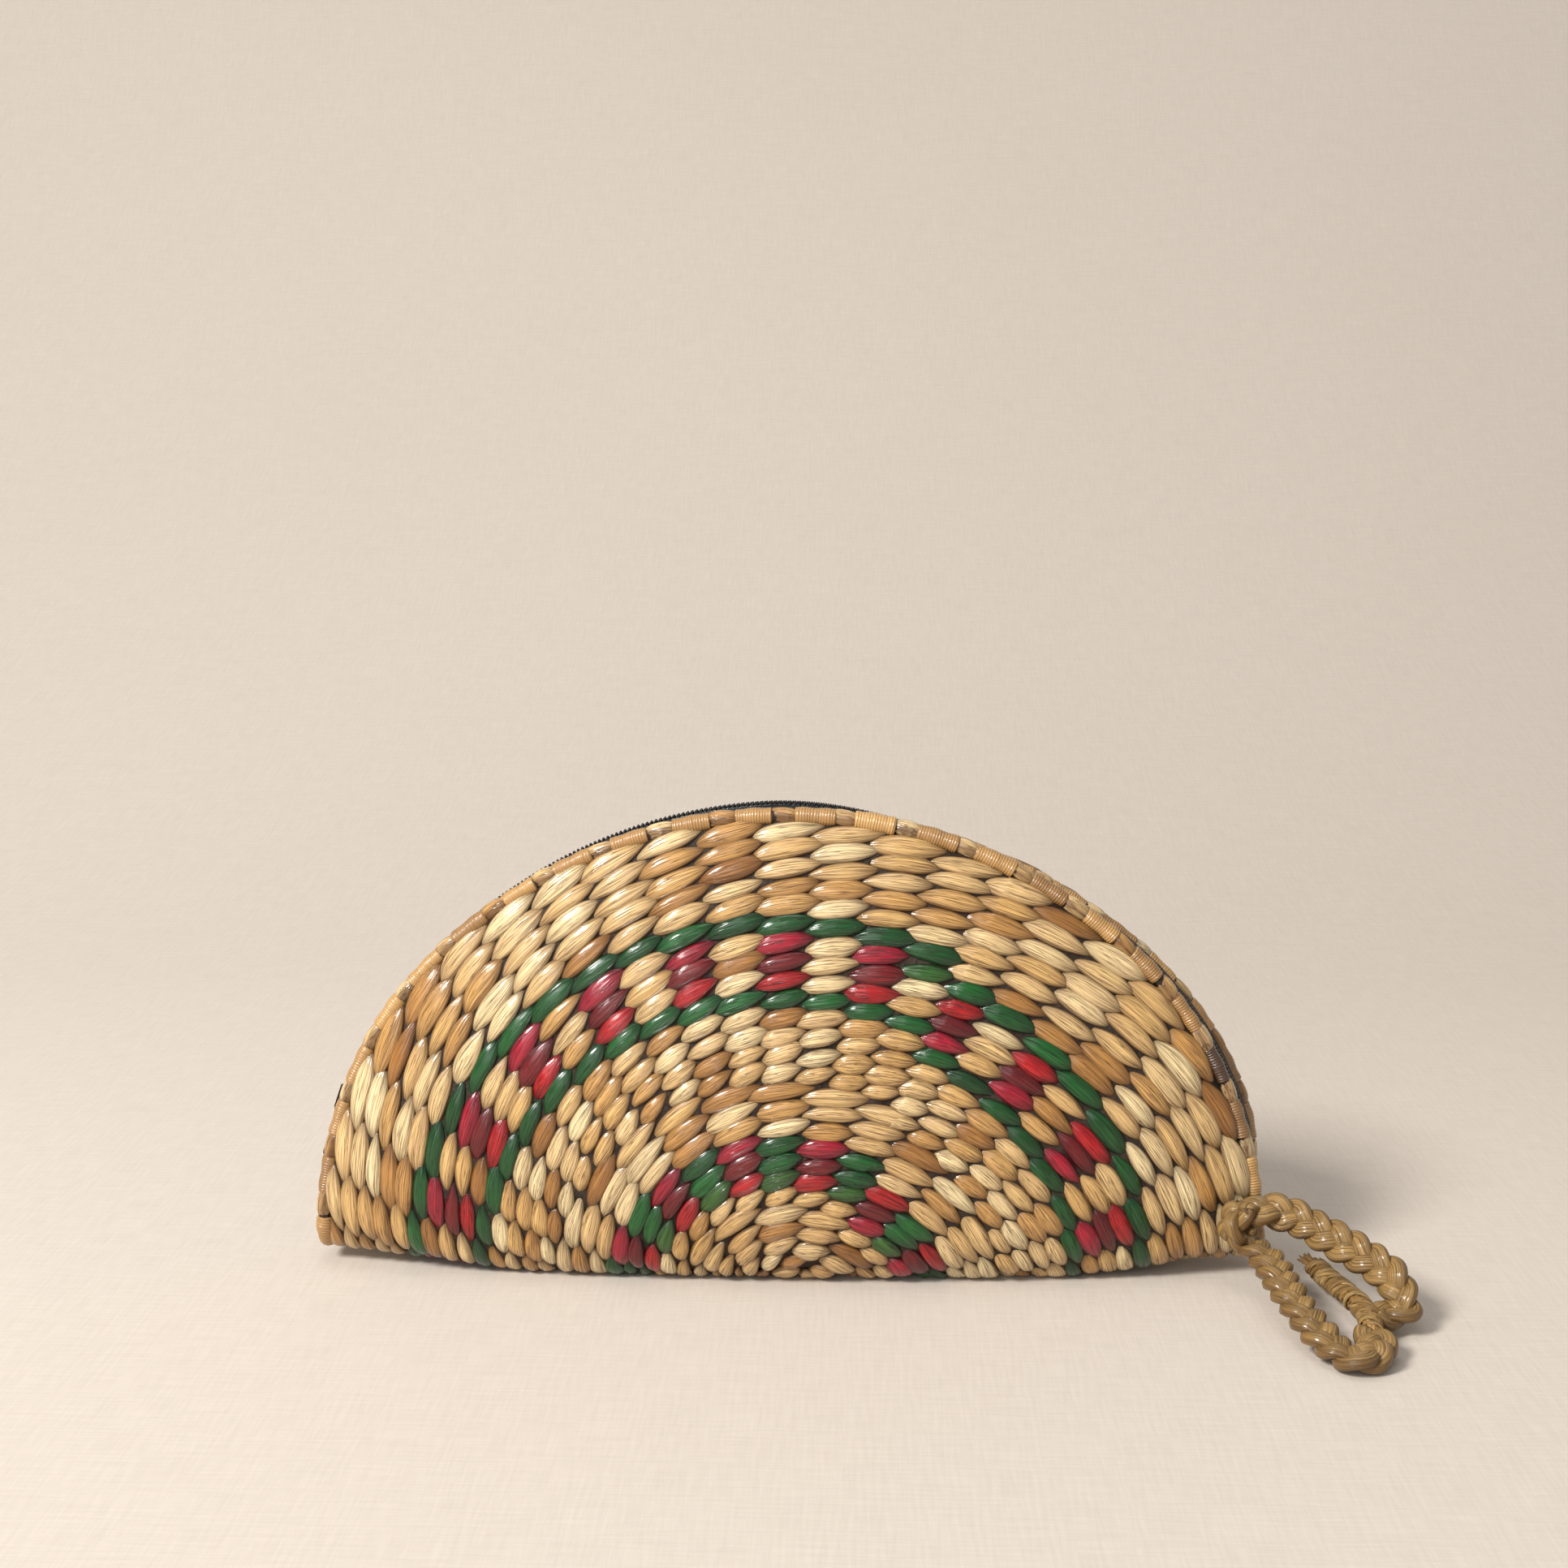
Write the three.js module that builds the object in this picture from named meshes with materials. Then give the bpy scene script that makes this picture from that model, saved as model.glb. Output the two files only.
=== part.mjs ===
import * as THREE from 'three';
import { mergeVertices } from 'three/addons/utils/BufferGeometryUtils.js';

// A half-moon clutch of water hyacinth: one round twined mat folded in half, standing on its fold.
// Millimetres. X runs along the width, -Y is the front, +Z is up and the floor is z = 0.
// The origin is the middle of the flat strip that the fold rests on.

// Twined mat
const BAG_WIDTH = 280;        // corner to corner, over the rim
const BAG_HEIGHT = 139;       // floor to the top of the front rim
const WALL = 4.6;             // thickness of the two-strand weave
const ROWS = 28;              // rows of weave from the middle of the mat to its edge
const PLAIN_ROWS = 4;         // rows at the middle that are too small for a rib
const GROOVE = 0.9;           // depth of the groove between two rows
const GROOVE_START = 8;       // height above the fold where the grooves reach their full depth
const FLOOR_HALF = 13;        // half width of the resting strip at the middle
const BELLY = 15;             // how far each side swells out of its straight line
const END_HALF = 3;           // half width of the fold's strip at the corners
const END_LIFT = 4;           // height of the fold above the floor at the corners
const BACK_SHIFT = 7;         // how far the back half is pulled to the right
const SHIFT_START = 40;       // height above the fold where that pull is complete
const BACK_DROP = 3;          // how much lower the top of the back half is

// Rim and zip
const RIM_RADIUS = 2.75;
const MOUTH_HALF = 8.5;       // half the distance between the two rims
const CORNER_TURN = 10;       // height over which a rim turns in to its corner
const TEETH_HALF = 2.6;
const TEETH_THICKNESS = 2.2;
const TEETH_RAISE = 2.6;      // the teeth's middle above the rims' middle, left of the top
const TEETH_SINK = 0.6;       // how far the teeth lie below the rims' middle, down the right
const TAPE_THICKNESS = 0.9;
const TAPE_TUCK = 9;          // how deep each tape is tucked behind its wall
const TAPE_GAP = 0.6;         // between a tape and its rim, which runs a little askew to it
const ZIP_STOP = 14;          // height above the fold where the zip starts and ends
// The teeth sink between these angles round the mouth, in radians from the right corner.
const SINK_START = 1.65;
const SINK_END = 1.15;
const SLIDER_WIDTH = 8;
const SLIDER_BODY = 10;
const SLIDER_THICKNESS = 1.8;
const SLIDER_SHOULDER = 0.7;  // share of the slider's body that is at its full width
const PULL_LENGTH = 12;
const PULL_WIDTH = 4;
const SLIDER_HEIGHT = 34;     // height above the fold where the closed slider sits

// Wrist strap, a flat braid whose joined ends are bound together inside the loop
const BRAID_WIDTH = 10.5;
const BRAID_THICKNESS = 6;
const TIE_RADIUS = 1.5;       // the tie that holds the braid's curl to the mat
const TIE_INSET = 7;          // from the rim's middle in to the tie
const TIE_HEIGHT = 14;        // height of the tie above the fold
const STRAP_REACH = 58;       // how far the loop reaches forward of its tie
const STRAP_SPREAD = 38;      // how far the loop reaches out to the right of its tie
const JOIN_RADIUS = 3.6;      // the binding over the braid's ends
const FLOOR_GAP = 0.2;        // between the floor and the lowest strand

const CLEARANCE = 0.3;

// The fold lifts off the floor from this share of the half width outwards.
const LIFT_START = 0.55;
// The belly rises steeply out of the fold and runs out slowly towards the rim.
const BELLY_RISE = 0.45;
const BELLY_FALL = 0.9;
const BELLY_TAPER = 0.8;
// A swollen side is this much longer than its height.
const SIDE_SLACK = 1.08;

const HALF_SPAN = BAG_WIDTH / 2 - RIM_RADIUS;
const RISE = BAG_HEIGHT - WALL / 2 - RIM_RADIUS;
const BELLY_PEAK = BELLY_RISE / (BELLY_RISE + BELLY_FALL);

// How finely each piece is divided
const ARC_STEPS = 26;
const FOLD_STEPS = 4;
const CROWDING = 0.6;
const MOST_UNDER = Math.PI / 3;
const HALVINGS = 40;
const RIM_STEPS = 36;
const RIM_SEGMENTS = 84;
const RIM_SIDES = 8;
const MOUTH_STEPS = 34;
const BINDING_STEPS = 14;
const STRAP_STEPS = 3;        // between two of the strap's points
const CURL_STEP = 30;         // degrees
const TIE_SIDES = 10;

const FRONT = -1;
const BACK = 1;
const EDGE = 1e-6;

const vec = (x, y, z) => new THREE.Vector3(x, y, z);

// Shape of the folded mat

function smoothShare(value, from, to) {
  return THREE.MathUtils.smoothstep(value, from, to);
}

function quarterTurn(share) {
  const turned = THREE.MathUtils.clamp(share, 0, 1);
  return Math.sqrt(1 - (1 - turned) ** 2);
}

function sideTop(u) {
  return RISE * Math.sqrt(Math.max(0, 1 - (u / HALF_SPAN) ** 2));
}

function floorHalf(u) {
  return END_HALF + (FLOOR_HALF - END_HALF) * (1 - (u / HALF_SPAN) ** 2);
}

function foldLift(u) {
  return END_LIFT * smoothShare(Math.abs(u) / HALF_SPAN, LIFT_START, 1);
}

function bellyShape(t) {
  const peak = BELLY_PEAK ** BELLY_RISE * (1 - BELLY_PEAK) ** BELLY_FALL;
  return (t ** BELLY_RISE * (1 - t) ** BELLY_FALL) / peak;
}

// The share of half a cross-section that lies flat under the fold.
function underShare(u) {
  return floorHalf(u) / (floorHalf(u) + SIDE_SLACK * sideTop(u));
}

// A point of the mat's middle surface on one side, at t from 0 at the fold to 1 at the rim.
function sidePoint(u, t, side) {
  const top = sideTop(u);
  const height = top * t;
  const mouth = END_HALF + (MOUTH_HALF - END_HALF) * quarterTurn(top / CORNER_TURN);
  const straight = floorHalf(u) + (mouth - floorHalf(u)) * t;
  const swell = BELLY * (top / RISE) ** BELLY_TAPER * bellyShape(t);
  const isBack = side === BACK;
  const shift = isBack ? BACK_SHIFT * smoothShare(height, 0, SHIFT_START) : 0;
  const drop = isBack ? BACK_DROP * (height / RISE) : 0;
  return vec(u + shift, side * (straight + swell), WALL / 2 + foldLift(u) + height - drop);
}

function sideNormal(u, t, side) {
  const step = 0.001;
  const inward = sidePoint(u - step * HALF_SPAN, t, side);
  const outward = sidePoint(Math.min(HALF_SPAN, u + step * HALF_SPAN), t, side);
  const below = sidePoint(u, Math.max(0, t - step), side);
  const above = sidePoint(u, Math.min(1, t + step), side);
  const normal = outward.sub(inward).cross(above.sub(below)).normalize();
  return side === FRONT ? normal : normal.negate();
}

// A point of the mat seen as the flat round it is made as. share runs from 0 at its middle to 1
// at the rim, and angle round it from 0 at the right corner, over the front and then the back.
// Where the mat passes under the fold, it lies flat. offset moves the point out of the bag.
const DOWN = vec(0, 0, -1);

function matPlace(share, angle) {
  const u = HALF_SPAN * share * Math.cos(angle);
  const width = Math.sqrt(Math.max(0, 1 - (share * Math.cos(angle)) ** 2));
  const reach = width > 0 ? (share * Math.abs(Math.sin(angle))) / width : 0;
  const under = underShare(u);
  const side = Math.sin(angle) < 0 ? BACK : FRONT;
  return { u, side, across: reach / under, t: (Math.min(reach, 1) - under) / (1 - under) };
}

function matPoint(share, angle, offset) {
  const { u, side, across, t } = matPlace(share, angle);
  if (t <= EDGE) {
    const flat = vec(u, side * Math.min(across, 1) * floorHalf(u), WALL / 2 + foldLift(u));
    return flat.addScaledVector(DOWN, offset);
  }
  return sidePoint(u, t, side).addScaledVector(sideNormal(u, t, side), offset);
}

// The angle at which a row passes from under the fold onto the front. The smallest rows, which
// hardly leave the fold, keep an even spread.
function edgeAngle(share) {
  if (matPlace(share, MOST_UNDER).t < 0) return MOST_UNDER;
  let [low, high] = [0, MOST_UNDER];
  for (let i = 0; i < HALVINGS; i++) {
    const middle = (low + high) / 2;
    if (matPlace(share, middle).t > 0) high = middle;
    else low = middle;
  }
  return low;
}

// Steps along an arc crowd towards its ends, at the corners, where the mat bends most.
function crowdedShare(even) {
  return THREE.MathUtils.lerp(even, (1 - Math.cos(Math.PI * even)) / 2, CROWDING);
}

// The angles of one row's points, with the same number of them under the fold in every row.
function rowAngles(share) {
  const edge = edgeAngle(share);
  const half = [];
  for (let i = 0; i < ARC_STEPS; i++) {
    half.push(edge + (Math.PI - 2 * edge) * crowdedShare(i / ARC_STEPS));
  }
  for (let i = 0; i < FOLD_STEPS; i++) half.push(Math.PI - edge + (2 * edge * i) / FOLD_STEPS);
  return [...half, ...half.map((angle) => angle + Math.PI)];
}

// Closed meshes from rings of points

function closedMesh(rings) {
  const count = rings[0].length;
  const corners = rings.flatMap((ring) => ring.flatMap((point) => point.toArray()));
  const faces = [];
  for (let i = 0; i < rings.length - 1; i++) {
    for (let j = 0; j < count; j++) {
      const a = i * count + j;
      const b = i * count + ((j + 1) % count);
      const c = (i + 1) * count + j;
      const d = (i + 1) * count + ((j + 1) % count);
      faces.push([a, b, d], [a, d, c]);
    }
  }
  const loose = new THREE.BufferGeometry();
  loose.setAttribute('position', new THREE.Float32BufferAttribute(corners, 3));
  loose.setIndex(faces.flat());
  const welded = mergeVertices(loose, 1e-4);
  const index = welded.getIndex().array;
  const place = welded.getAttribute('position');
  const corner = (i) => vec(place.getX(i), place.getY(i), place.getZ(i));
  const kept = [];
  let volume = 0;
  for (let i = 0; i < index.length; i += 3) {
    const [a, b, c] = [index[i], index[i + 1], index[i + 2]];
    if (a === b || b === c || c === a) continue;
    kept.push(a, b, c);
    volume += corner(a).dot(corner(b).cross(corner(c)));
  }
  welded.setIndex(volume > 0 ? kept : kept.reverse());
  welded.computeVertexNormals();
  return welded;
}

// A section is a list of pairs, one point on each face of a flat piece. It is closed at both of
// the piece's ends by drawing each pair together on the line midway between the faces.
const sectionRing = (pairs) => [...pairs.map((p) => p[0]), ...pairs.map((p) => p[1]).reverse()];

function sectionCap(pairs) {
  const middles = pairs.map(([a, b]) => a.clone().add(b).multiplyScalar(0.5));
  return [...middles, ...middles.slice().reverse()];
}

function sweptPiece(sections) {
  const last = sections[sections.length - 1];
  return closedMesh([sectionCap(sections[0]), ...sections.map(sectionRing), sectionCap(last)]);
}

// Half an oval as pairs across its width, from one edge to the other.
const OVAL = [
  { across: 1, through: 0 },
  { across: 0.72, through: 0.8 },
  { across: 0, through: 1 },
  { across: -0.72, through: 0.8 },
  { across: -1, through: 0 },
];

function ovalSection(centre, wide, thin, halfWidth, halfThickness) {
  return OVAL.map(({ across, through }) => {
    const middle = centre.clone().addScaledVector(wide, across * halfWidth);
    const reach = through * halfThickness;
    return [middle.clone().addScaledVector(thin, reach), middle.clone().addScaledVector(thin, -reach)];
  });
}

// Woven mat

function wovenBody() {
  const edgeShare = 1 - (RIM_RADIUS + CLEARANCE) / RISE;
  const grooveAt = (share, angle) => {
    const { u, t } = matPlace(share, angle);
    return GROOVE * smoothShare(sideTop(u) * t, 0, GROOVE_START);
  };
  const ring = (share, offsetAt) => (
    rowAngles(share).map((angle) => matPoint(share, angle, offsetAt(angle)))
  );
  const rings = [ring(0, () => WALL / 2)];
  for (let row = 1; row <= ROWS; row++) {
    const crest = (edgeShare * (row - 0.5)) / ROWS;
    const valley = (edgeShare * row) / ROWS;
    rings.push(ring(crest, () => WALL / 2));
    if (row <= PLAIN_ROWS) continue;
    rings.push(ring(valley, (angle) => WALL / 2 - grooveAt(valley, angle)));
  }
  for (let row = ROWS; row >= 0; row -= 2) {
    rings.push(ring((edgeShare * row) / ROWS, () => -WALL / 2));
  }
  return closedMesh(rings);
}

// Wrapped rim

function rimPoint(angle, side) {
  return sidePoint(HALF_SPAN * Math.cos(angle), 1, side);
}

function rimRing() {
  const front = [];
  const back = [];
  for (let i = 0; i <= RIM_STEPS; i++) {
    const angle = Math.PI * crowdedShare(i / RIM_STEPS);
    front.push(rimPoint(angle, FRONT));
    back.unshift(rimPoint(angle, BACK));
  }
  const path = new THREE.CatmullRomCurve3([...front, ...back], true);
  return new THREE.TubeGeometry(path, RIM_SEGMENTS, RIM_RADIUS, RIM_SIDES, true);
}

// Zip along the mouth

const stopAngle = (height) => Math.asin(height / RISE);

// How far the teeth's middle stands out of the rims' middle at one angle.
function teethOut(angle) {
  const sunk = 1 - smoothShare(angle, SINK_END, SINK_START);
  return THREE.MathUtils.lerp(TEETH_RAISE, -TEETH_SINK, sunk);
}

// The mouth at one angle: its middle, its half width and the directions across and out of it.
function mouthAt(angle) {
  const step = 0.01;
  const middleAt = (a) => rimPoint(a, FRONT).add(rimPoint(a, BACK)).multiplyScalar(0.5);
  const across = rimPoint(angle, BACK).sub(rimPoint(angle, FRONT));
  const half = across.length() / 2;
  across.normalize();
  const along = middleAt(angle - step).sub(middleAt(angle + step)).normalize();
  const out = along.clone().cross(across).normalize();
  return { middle: middleAt(angle), half, across, along, out };
}

function alongMouth(sectionAt) {
  const start = stopAngle(ZIP_STOP);
  const sections = [];
  for (let i = 0; i <= MOUTH_STEPS; i++) {
    const angle = start + ((Math.PI - 2 * start) * i) / MOUTH_STEPS;
    const mouth = mouthAt(angle);
    const place = (across, out) => mouth.middle.clone()
      .addScaledVector(mouth.across, across)
      .addScaledVector(mouth.out, teethOut(angle) + out);
    sections.push(sectionAt(place, mouth.half));
  }
  return sweptPiece(sections);
}

function zipTeeth() {
  return alongMouth((place) => [-TEETH_HALF, TEETH_HALF].map((across) => (
    [place(across, -TEETH_THICKNESS / 2), place(across, TEETH_THICKNESS / 2)]
  )));
}

// Each tape runs from the teeth to the rim and is then tucked down behind the wall.
function zipTape(side) {
  const top = TAPE_THICKNESS / 2;
  const bottom = -TAPE_THICKNESS / 2;
  const inner = TEETH_HALF + CLEARANCE;
  return alongMouth((place, half) => {
    const outer = half - RIM_RADIUS - TAPE_GAP;
    const tucked = outer - TAPE_THICKNESS;
    return [
      [place(side * inner, bottom), place(side * inner, top)],
      [place(side * tucked, bottom), place(side * outer, top)],
      [place(side * tucked, top - TAPE_TUCK), place(side * outer, top - TAPE_TUCK)],
    ];
  });
}

function zipSlider() {
  const outline = new THREE.Shape();
  outline.moveTo(-SLIDER_WIDTH / 2, 0);
  outline.lineTo(SLIDER_WIDTH / 2, 0);
  outline.lineTo(SLIDER_WIDTH / 2, SLIDER_BODY * SLIDER_SHOULDER);
  outline.lineTo(PULL_WIDTH / 2, SLIDER_BODY);
  outline.lineTo(PULL_WIDTH / 2, SLIDER_BODY + PULL_LENGTH);
  outline.absarc(0, SLIDER_BODY + PULL_LENGTH, PULL_WIDTH / 2, 0, Math.PI, false);
  outline.lineTo(-PULL_WIDTH / 2, SLIDER_BODY);
  outline.lineTo(-SLIDER_WIDTH / 2, SLIDER_BODY * SLIDER_SHOULDER);
  outline.closePath();
  const slider = new THREE.ExtrudeGeometry(outline, {
    depth: SLIDER_THICKNESS, bevelEnabled: false, curveSegments: 5,
  });
  const length = SLIDER_BODY + PULL_LENGTH + PULL_WIDTH / 2;
  const sag = (length / 2) ** 2 / (2 * RISE);
  const place = Math.PI - stopAngle(SLIDER_HEIGHT);
  const lift = teethOut(place) + TEETH_THICKNESS / 2 + CLEARANCE + sag;
  slider.translate(0, -length / 2, lift);
  const mouth = mouthAt(place);
  const turn = new THREE.Matrix4().makeBasis(mouth.across, mouth.along.clone().negate(), mouth.out);
  slider.applyMatrix4(turn.setPosition(mouth.middle));
  return slider;
}

// Wrist strap

const TIE_U = HALF_SPAN - TIE_INSET;
const TIE_T = TIE_HEIGHT / sideTop(TIE_U);
const TIE_AXIS = sideNormal(TIE_U, TIE_T, FRONT);
const TIE_FOOT = sidePoint(TIE_U, TIE_T, FRONT).addScaledVector(TIE_AXIS, WALL / 2 + CLEARANCE);
const EYE = TIE_FOOT.clone().addScaledVector(TIE_AXIS, CLEARANCE + BRAID_WIDTH / 2);
const CURL_RADIUS = TIE_RADIUS + CLEARANCE + BRAID_THICKNESS / 2;
const LYING = FLOOR_GAP + BRAID_THICKNESS / 2;

// The route of each leg from the curl to its end inside the loop. out and fore are shares of the
// loop's spread and reach, and rise is the share of the curl's height that is left.
const UPPER_LEG = [
  { out: 0.30, fore: 0.02, rise: 0.96 },
  { out: 0.55, fore: 0.14, rise: 0.80 },
  { out: 0.80, fore: 0.27, rise: 0.62 },
  { out: 0.97, fore: 0.40, rise: 0.44 },
];
const LOWER_LEG = [
  { out: 0.13, fore: 0.16, rise: 0.80 },
  { out: 0.18, fore: 0.42, rise: 0.62 },
  { out: 0.27, fore: 0.66, rise: 0.34 },
  { out: 0.39, fore: 0.87, rise: 0.08 },
  { out: 0.54, fore: 0.99, rise: 0.02 },
];
const BINDING = [
  { out: 0.70, fore: 0.78, rise: 0.10 },
  { out: 0.74, fore: 0.56, rise: 0.14 },
  { out: 0.70, fore: 0.36, rise: 0.16 },
  { out: 0.61, fore: 0.14, rise: 0.17 },
  { out: 0.54, fore: -0.04, rise: 0.20 },
];
const JOIN_SHARE = 0.28;      // how far along the binding the upper leg's end meets it
const CURL_BLEND = 0.06;      // share of the braid over which it turns into the curl
const UPPER_ROLL = 0.95;      // radians by which the upper leg's flat face turns to the front
const ROLL_START = 0.02;      // shares of the braid over which that turn begins
const ROLL_FULL = 0.12;

function strapPoint({ out, fore, rise }, top) {
  return vec(
    EYE.x + out * STRAP_SPREAD,
    EYE.y - fore * STRAP_REACH,
    LYING + rise * (top - LYING),
  );
}

const bindingPath = () => new THREE.CatmullRomCurve3(
  BINDING.map((row) => strapPoint(row, EYE.z)),
);

function curlPoints() {
  const side = vec(0, 0, 1).cross(TIE_AXIS).normalize();
  const up = TIE_AXIS.clone().cross(side).normalize();
  const points = [];
  for (let turn = 90; turn <= 270; turn += CURL_STEP) {
    const angle = THREE.MathUtils.degToRad(turn);
    points.push(EYE.clone()
      .addScaledVector(side, CURL_RADIUS * Math.cos(angle))
      .addScaledVector(up, CURL_RADIUS * Math.sin(angle)));
  }
  return points;
}

// The last stretch of a leg runs straight at the binding, square to its own end face.
function straightEnd(target, direction, gap) {
  return [gap + BRAID_THICKNESS, gap].map((back) => target.clone().addScaledVector(direction, -back));
}

// The braid's flat faces turn about the tie in the curl. They look up along the lower leg and
// roll towards the front along the upper one.
function wristStrap() {
  const binding = bindingPath();
  const sideways = binding.getTangent(JOIN_SHARE).cross(vec(0, 0, 1)).normalize().negate();
  const upperEnd = straightEnd(binding.getPoint(JOIN_SHARE), sideways, JOIN_RADIUS + CLEARANCE);
  const lowerEnd = straightEnd(binding.getPoint(0), binding.getTangent(0), CLEARANCE);
  const upper = [...UPPER_LEG.map((row) => strapPoint(row, EYE.z + CURL_RADIUS)), ...upperEnd];
  const lower = [...LOWER_LEG.map((row) => strapPoint(row, EYE.z - CURL_RADIUS)), ...lowerEnd];
  const curl = curlPoints();
  const points = [...upper.reverse(), ...curl, ...lower];
  const path = new THREE.CatmullRomCurve3(points);
  const curlStart = upper.length / (points.length - 1);
  const curlEnd = (upper.length + curl.length - 1) / (points.length - 1);
  const sections = [];
  const steps = STRAP_STEPS * (points.length - 1);
  for (let i = 0; i <= steps; i++) {
    const share = i / steps;
    const along = path.getTangent(share);
    const level = along.clone().cross(vec(0, 0, 1)).normalize();
    if (share < (curlStart + curlEnd) / 2) {
      level.negate();
      const roll = UPPER_ROLL * smoothShare(share, ROLL_START, ROLL_FULL);
      level.applyAxisAngle(along, -roll);
    }
    const inCurl = smoothShare(share, curlStart - CURL_BLEND, curlStart)
      * (1 - smoothShare(share, curlEnd, curlEnd + CURL_BLEND));
    const wide = level.lerp(TIE_AXIS, inCurl);
    wide.addScaledVector(along, -wide.dot(along)).normalize();
    const thin = along.clone().cross(wide).normalize();
    sections.push(ovalSection(path.getPoint(share), wide, thin, BRAID_WIDTH / 2, BRAID_THICKNESS / 2));
  }
  return sweptPiece(sections);
}

function strapBinding() {
  const path = bindingPath();
  const sections = [];
  for (let i = 0; i <= BINDING_STEPS; i++) {
    const share = i / BINDING_STEPS;
    const along = path.getTangent(share);
    const wide = along.clone().cross(vec(0, 0, 1)).normalize();
    const thin = along.clone().cross(wide).normalize();
    sections.push(ovalSection(path.getPoint(share), wide, thin, JOIN_RADIUS, JOIN_RADIUS));
  }
  return sweptPiece(sections);
}

function strapTie() {
  const length = BRAID_WIDTH + 2 * CLEARANCE;
  const tie = new THREE.CylinderGeometry(TIE_RADIUS, TIE_RADIUS, length, TIE_SIDES);
  tie.translate(0, length / 2, 0);
  tie.applyQuaternion(new THREE.Quaternion().setFromUnitVectors(vec(0, 1, 0), TIE_AXIS));
  tie.translate(...TIE_FOOT.toArray());
  return tie;
}

const FINISHES = {
  hyacinth: { color: '#c99f63', roughness: 0.42, metalness: 0 },
  wrapping: { color: '#a9865a', roughness: 0.5, metalness: 0 },
  braid: { color: '#ab8756', roughness: 0.6, metalness: 0 },
  nylon: { color: '#141416', roughness: 0.55, metalness: 0 },
  coil: { color: '#0c0c0e', roughness: 0.35, metalness: 0 },
  slider: { color: '#1c1c1f', roughness: 0.35, metalness: 0.8 },
};

const bag = new THREE.Group();

function addPiece(name, geometry, finish) {
  const mesh = new THREE.Mesh(geometry, new THREE.MeshStandardMaterial(FINISHES[finish]));
  mesh.name = name;
  bag.add(mesh);
}

addPiece('woven_body', wovenBody(), 'hyacinth');
addPiece('rim', rimRing(), 'wrapping');
addPiece('zip_tape_front', zipTape(FRONT), 'nylon');
addPiece('zip_tape_back', zipTape(BACK), 'nylon');
addPiece('zip_teeth', zipTeeth(), 'coil');
addPiece('zip_slider', zipSlider(), 'slider');
addPiece('wrist_strap', wristStrap(), 'braid');
addPiece('strap_binding', strapBinding(), 'wrapping');
addPiece('strap_tie', strapTie(), 'wrapping');

export default bag;
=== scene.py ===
import math

import bpy
import numpy as np
from mathutils import Matrix, Vector


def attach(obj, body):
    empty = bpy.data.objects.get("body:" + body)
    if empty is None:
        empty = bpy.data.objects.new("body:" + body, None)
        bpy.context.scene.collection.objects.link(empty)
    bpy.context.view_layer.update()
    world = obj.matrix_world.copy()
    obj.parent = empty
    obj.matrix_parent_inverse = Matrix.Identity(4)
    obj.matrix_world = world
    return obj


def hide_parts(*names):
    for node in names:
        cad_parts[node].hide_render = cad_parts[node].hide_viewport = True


# A half-moon clutch of twined water hyacinth, varnished, with green and red rows, a wound rim,
# a black coil zip and a braided wrist strap. Sizes in this script are millimetres in the bag's own
# frame, and every mesh is scaled to metres when it is made.

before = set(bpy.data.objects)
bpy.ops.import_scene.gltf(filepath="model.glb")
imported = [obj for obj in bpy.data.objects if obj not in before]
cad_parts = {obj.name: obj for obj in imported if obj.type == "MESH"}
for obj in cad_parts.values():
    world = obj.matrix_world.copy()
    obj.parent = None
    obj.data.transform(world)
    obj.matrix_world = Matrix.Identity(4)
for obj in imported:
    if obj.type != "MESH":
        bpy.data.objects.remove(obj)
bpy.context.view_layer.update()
MM = 0.001
chance = np.random.default_rng(62)

# Sizes of the folded mat, as the bag's solids have them
WALL, RIM_RADIUS, CLEARANCE = 4.6, 2.75, 0.3
HALF_SPAN = 280 / 2 - RIM_RADIUS
RISE = 139 - WALL / 2 - RIM_RADIUS
ROWS = 28
FLOOR_HALF, END_HALF, MOUTH_HALF = 13, 3, 8.5
BELLY, BELLY_RISE, BELLY_FALL, BELLY_TAPER = 15, 0.45, 0.9, 0.8
END_LIFT, LIFT_START = 4, 0.55
BACK_SHIFT, SHIFT_START, BACK_DROP = 7, 40, 3
CORNER_TURN, SIDE_SLACK = 10, 1.08
EDGE_SHARE = 0.99               # the outermost row is pressed against the rim
ZIP_STOP, TEETH_RAISE, TEETH_SINK = 14, 2.6, 0.6
SINK_START, SINK_END = 1.65, 1.15
FRONT_PROUD, BACK_SUNK = 0.7, 1.8   # the back rim tucks in behind the front one there
COIL_PROUD = 0.9                # of the coil's loops over the solid teeth
FRONT, BACK = -1, 1
TIP_SHARE = 0.9995              # of the fold's length, as its very tips have no height to weave on
NEAR_FOLD = 0.004               # of the wall's height, where its outward direction is steady again


# Shape of the folded mat

def smooth_share(value, low, high):
    """From 0 at low to 1 at high, easing in and out."""
    share = np.clip((value - low) / (high - low), 0, 1)
    return share * share * (3 - 2 * share)


def side_top(u):
    """Height of the rim over the fold, at u along the fold from its middle."""
    return RISE * np.sqrt(np.maximum(0, 1 - (u / HALF_SPAN) ** 2))


def floor_half(u):
    """Half the width of the flat strip under the fold."""
    return END_HALF + (FLOOR_HALF - END_HALF) * (1 - (u / HALF_SPAN) ** 2)


def fold_lift(u):
    """The fold turns up a little towards its two ends."""
    return END_LIFT * smooth_share(np.abs(u) / HALF_SPAN, LIFT_START, 1)


def belly_shape(t):
    """How much of the belly's swell a side has, from the fold at 0 to the rim at 1."""
    peak_at = BELLY_RISE / (BELLY_RISE + BELLY_FALL)
    peak = peak_at ** BELLY_RISE * (1 - peak_at) ** BELLY_FALL
    return t ** BELLY_RISE * (1 - t) ** BELLY_FALL / peak


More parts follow.
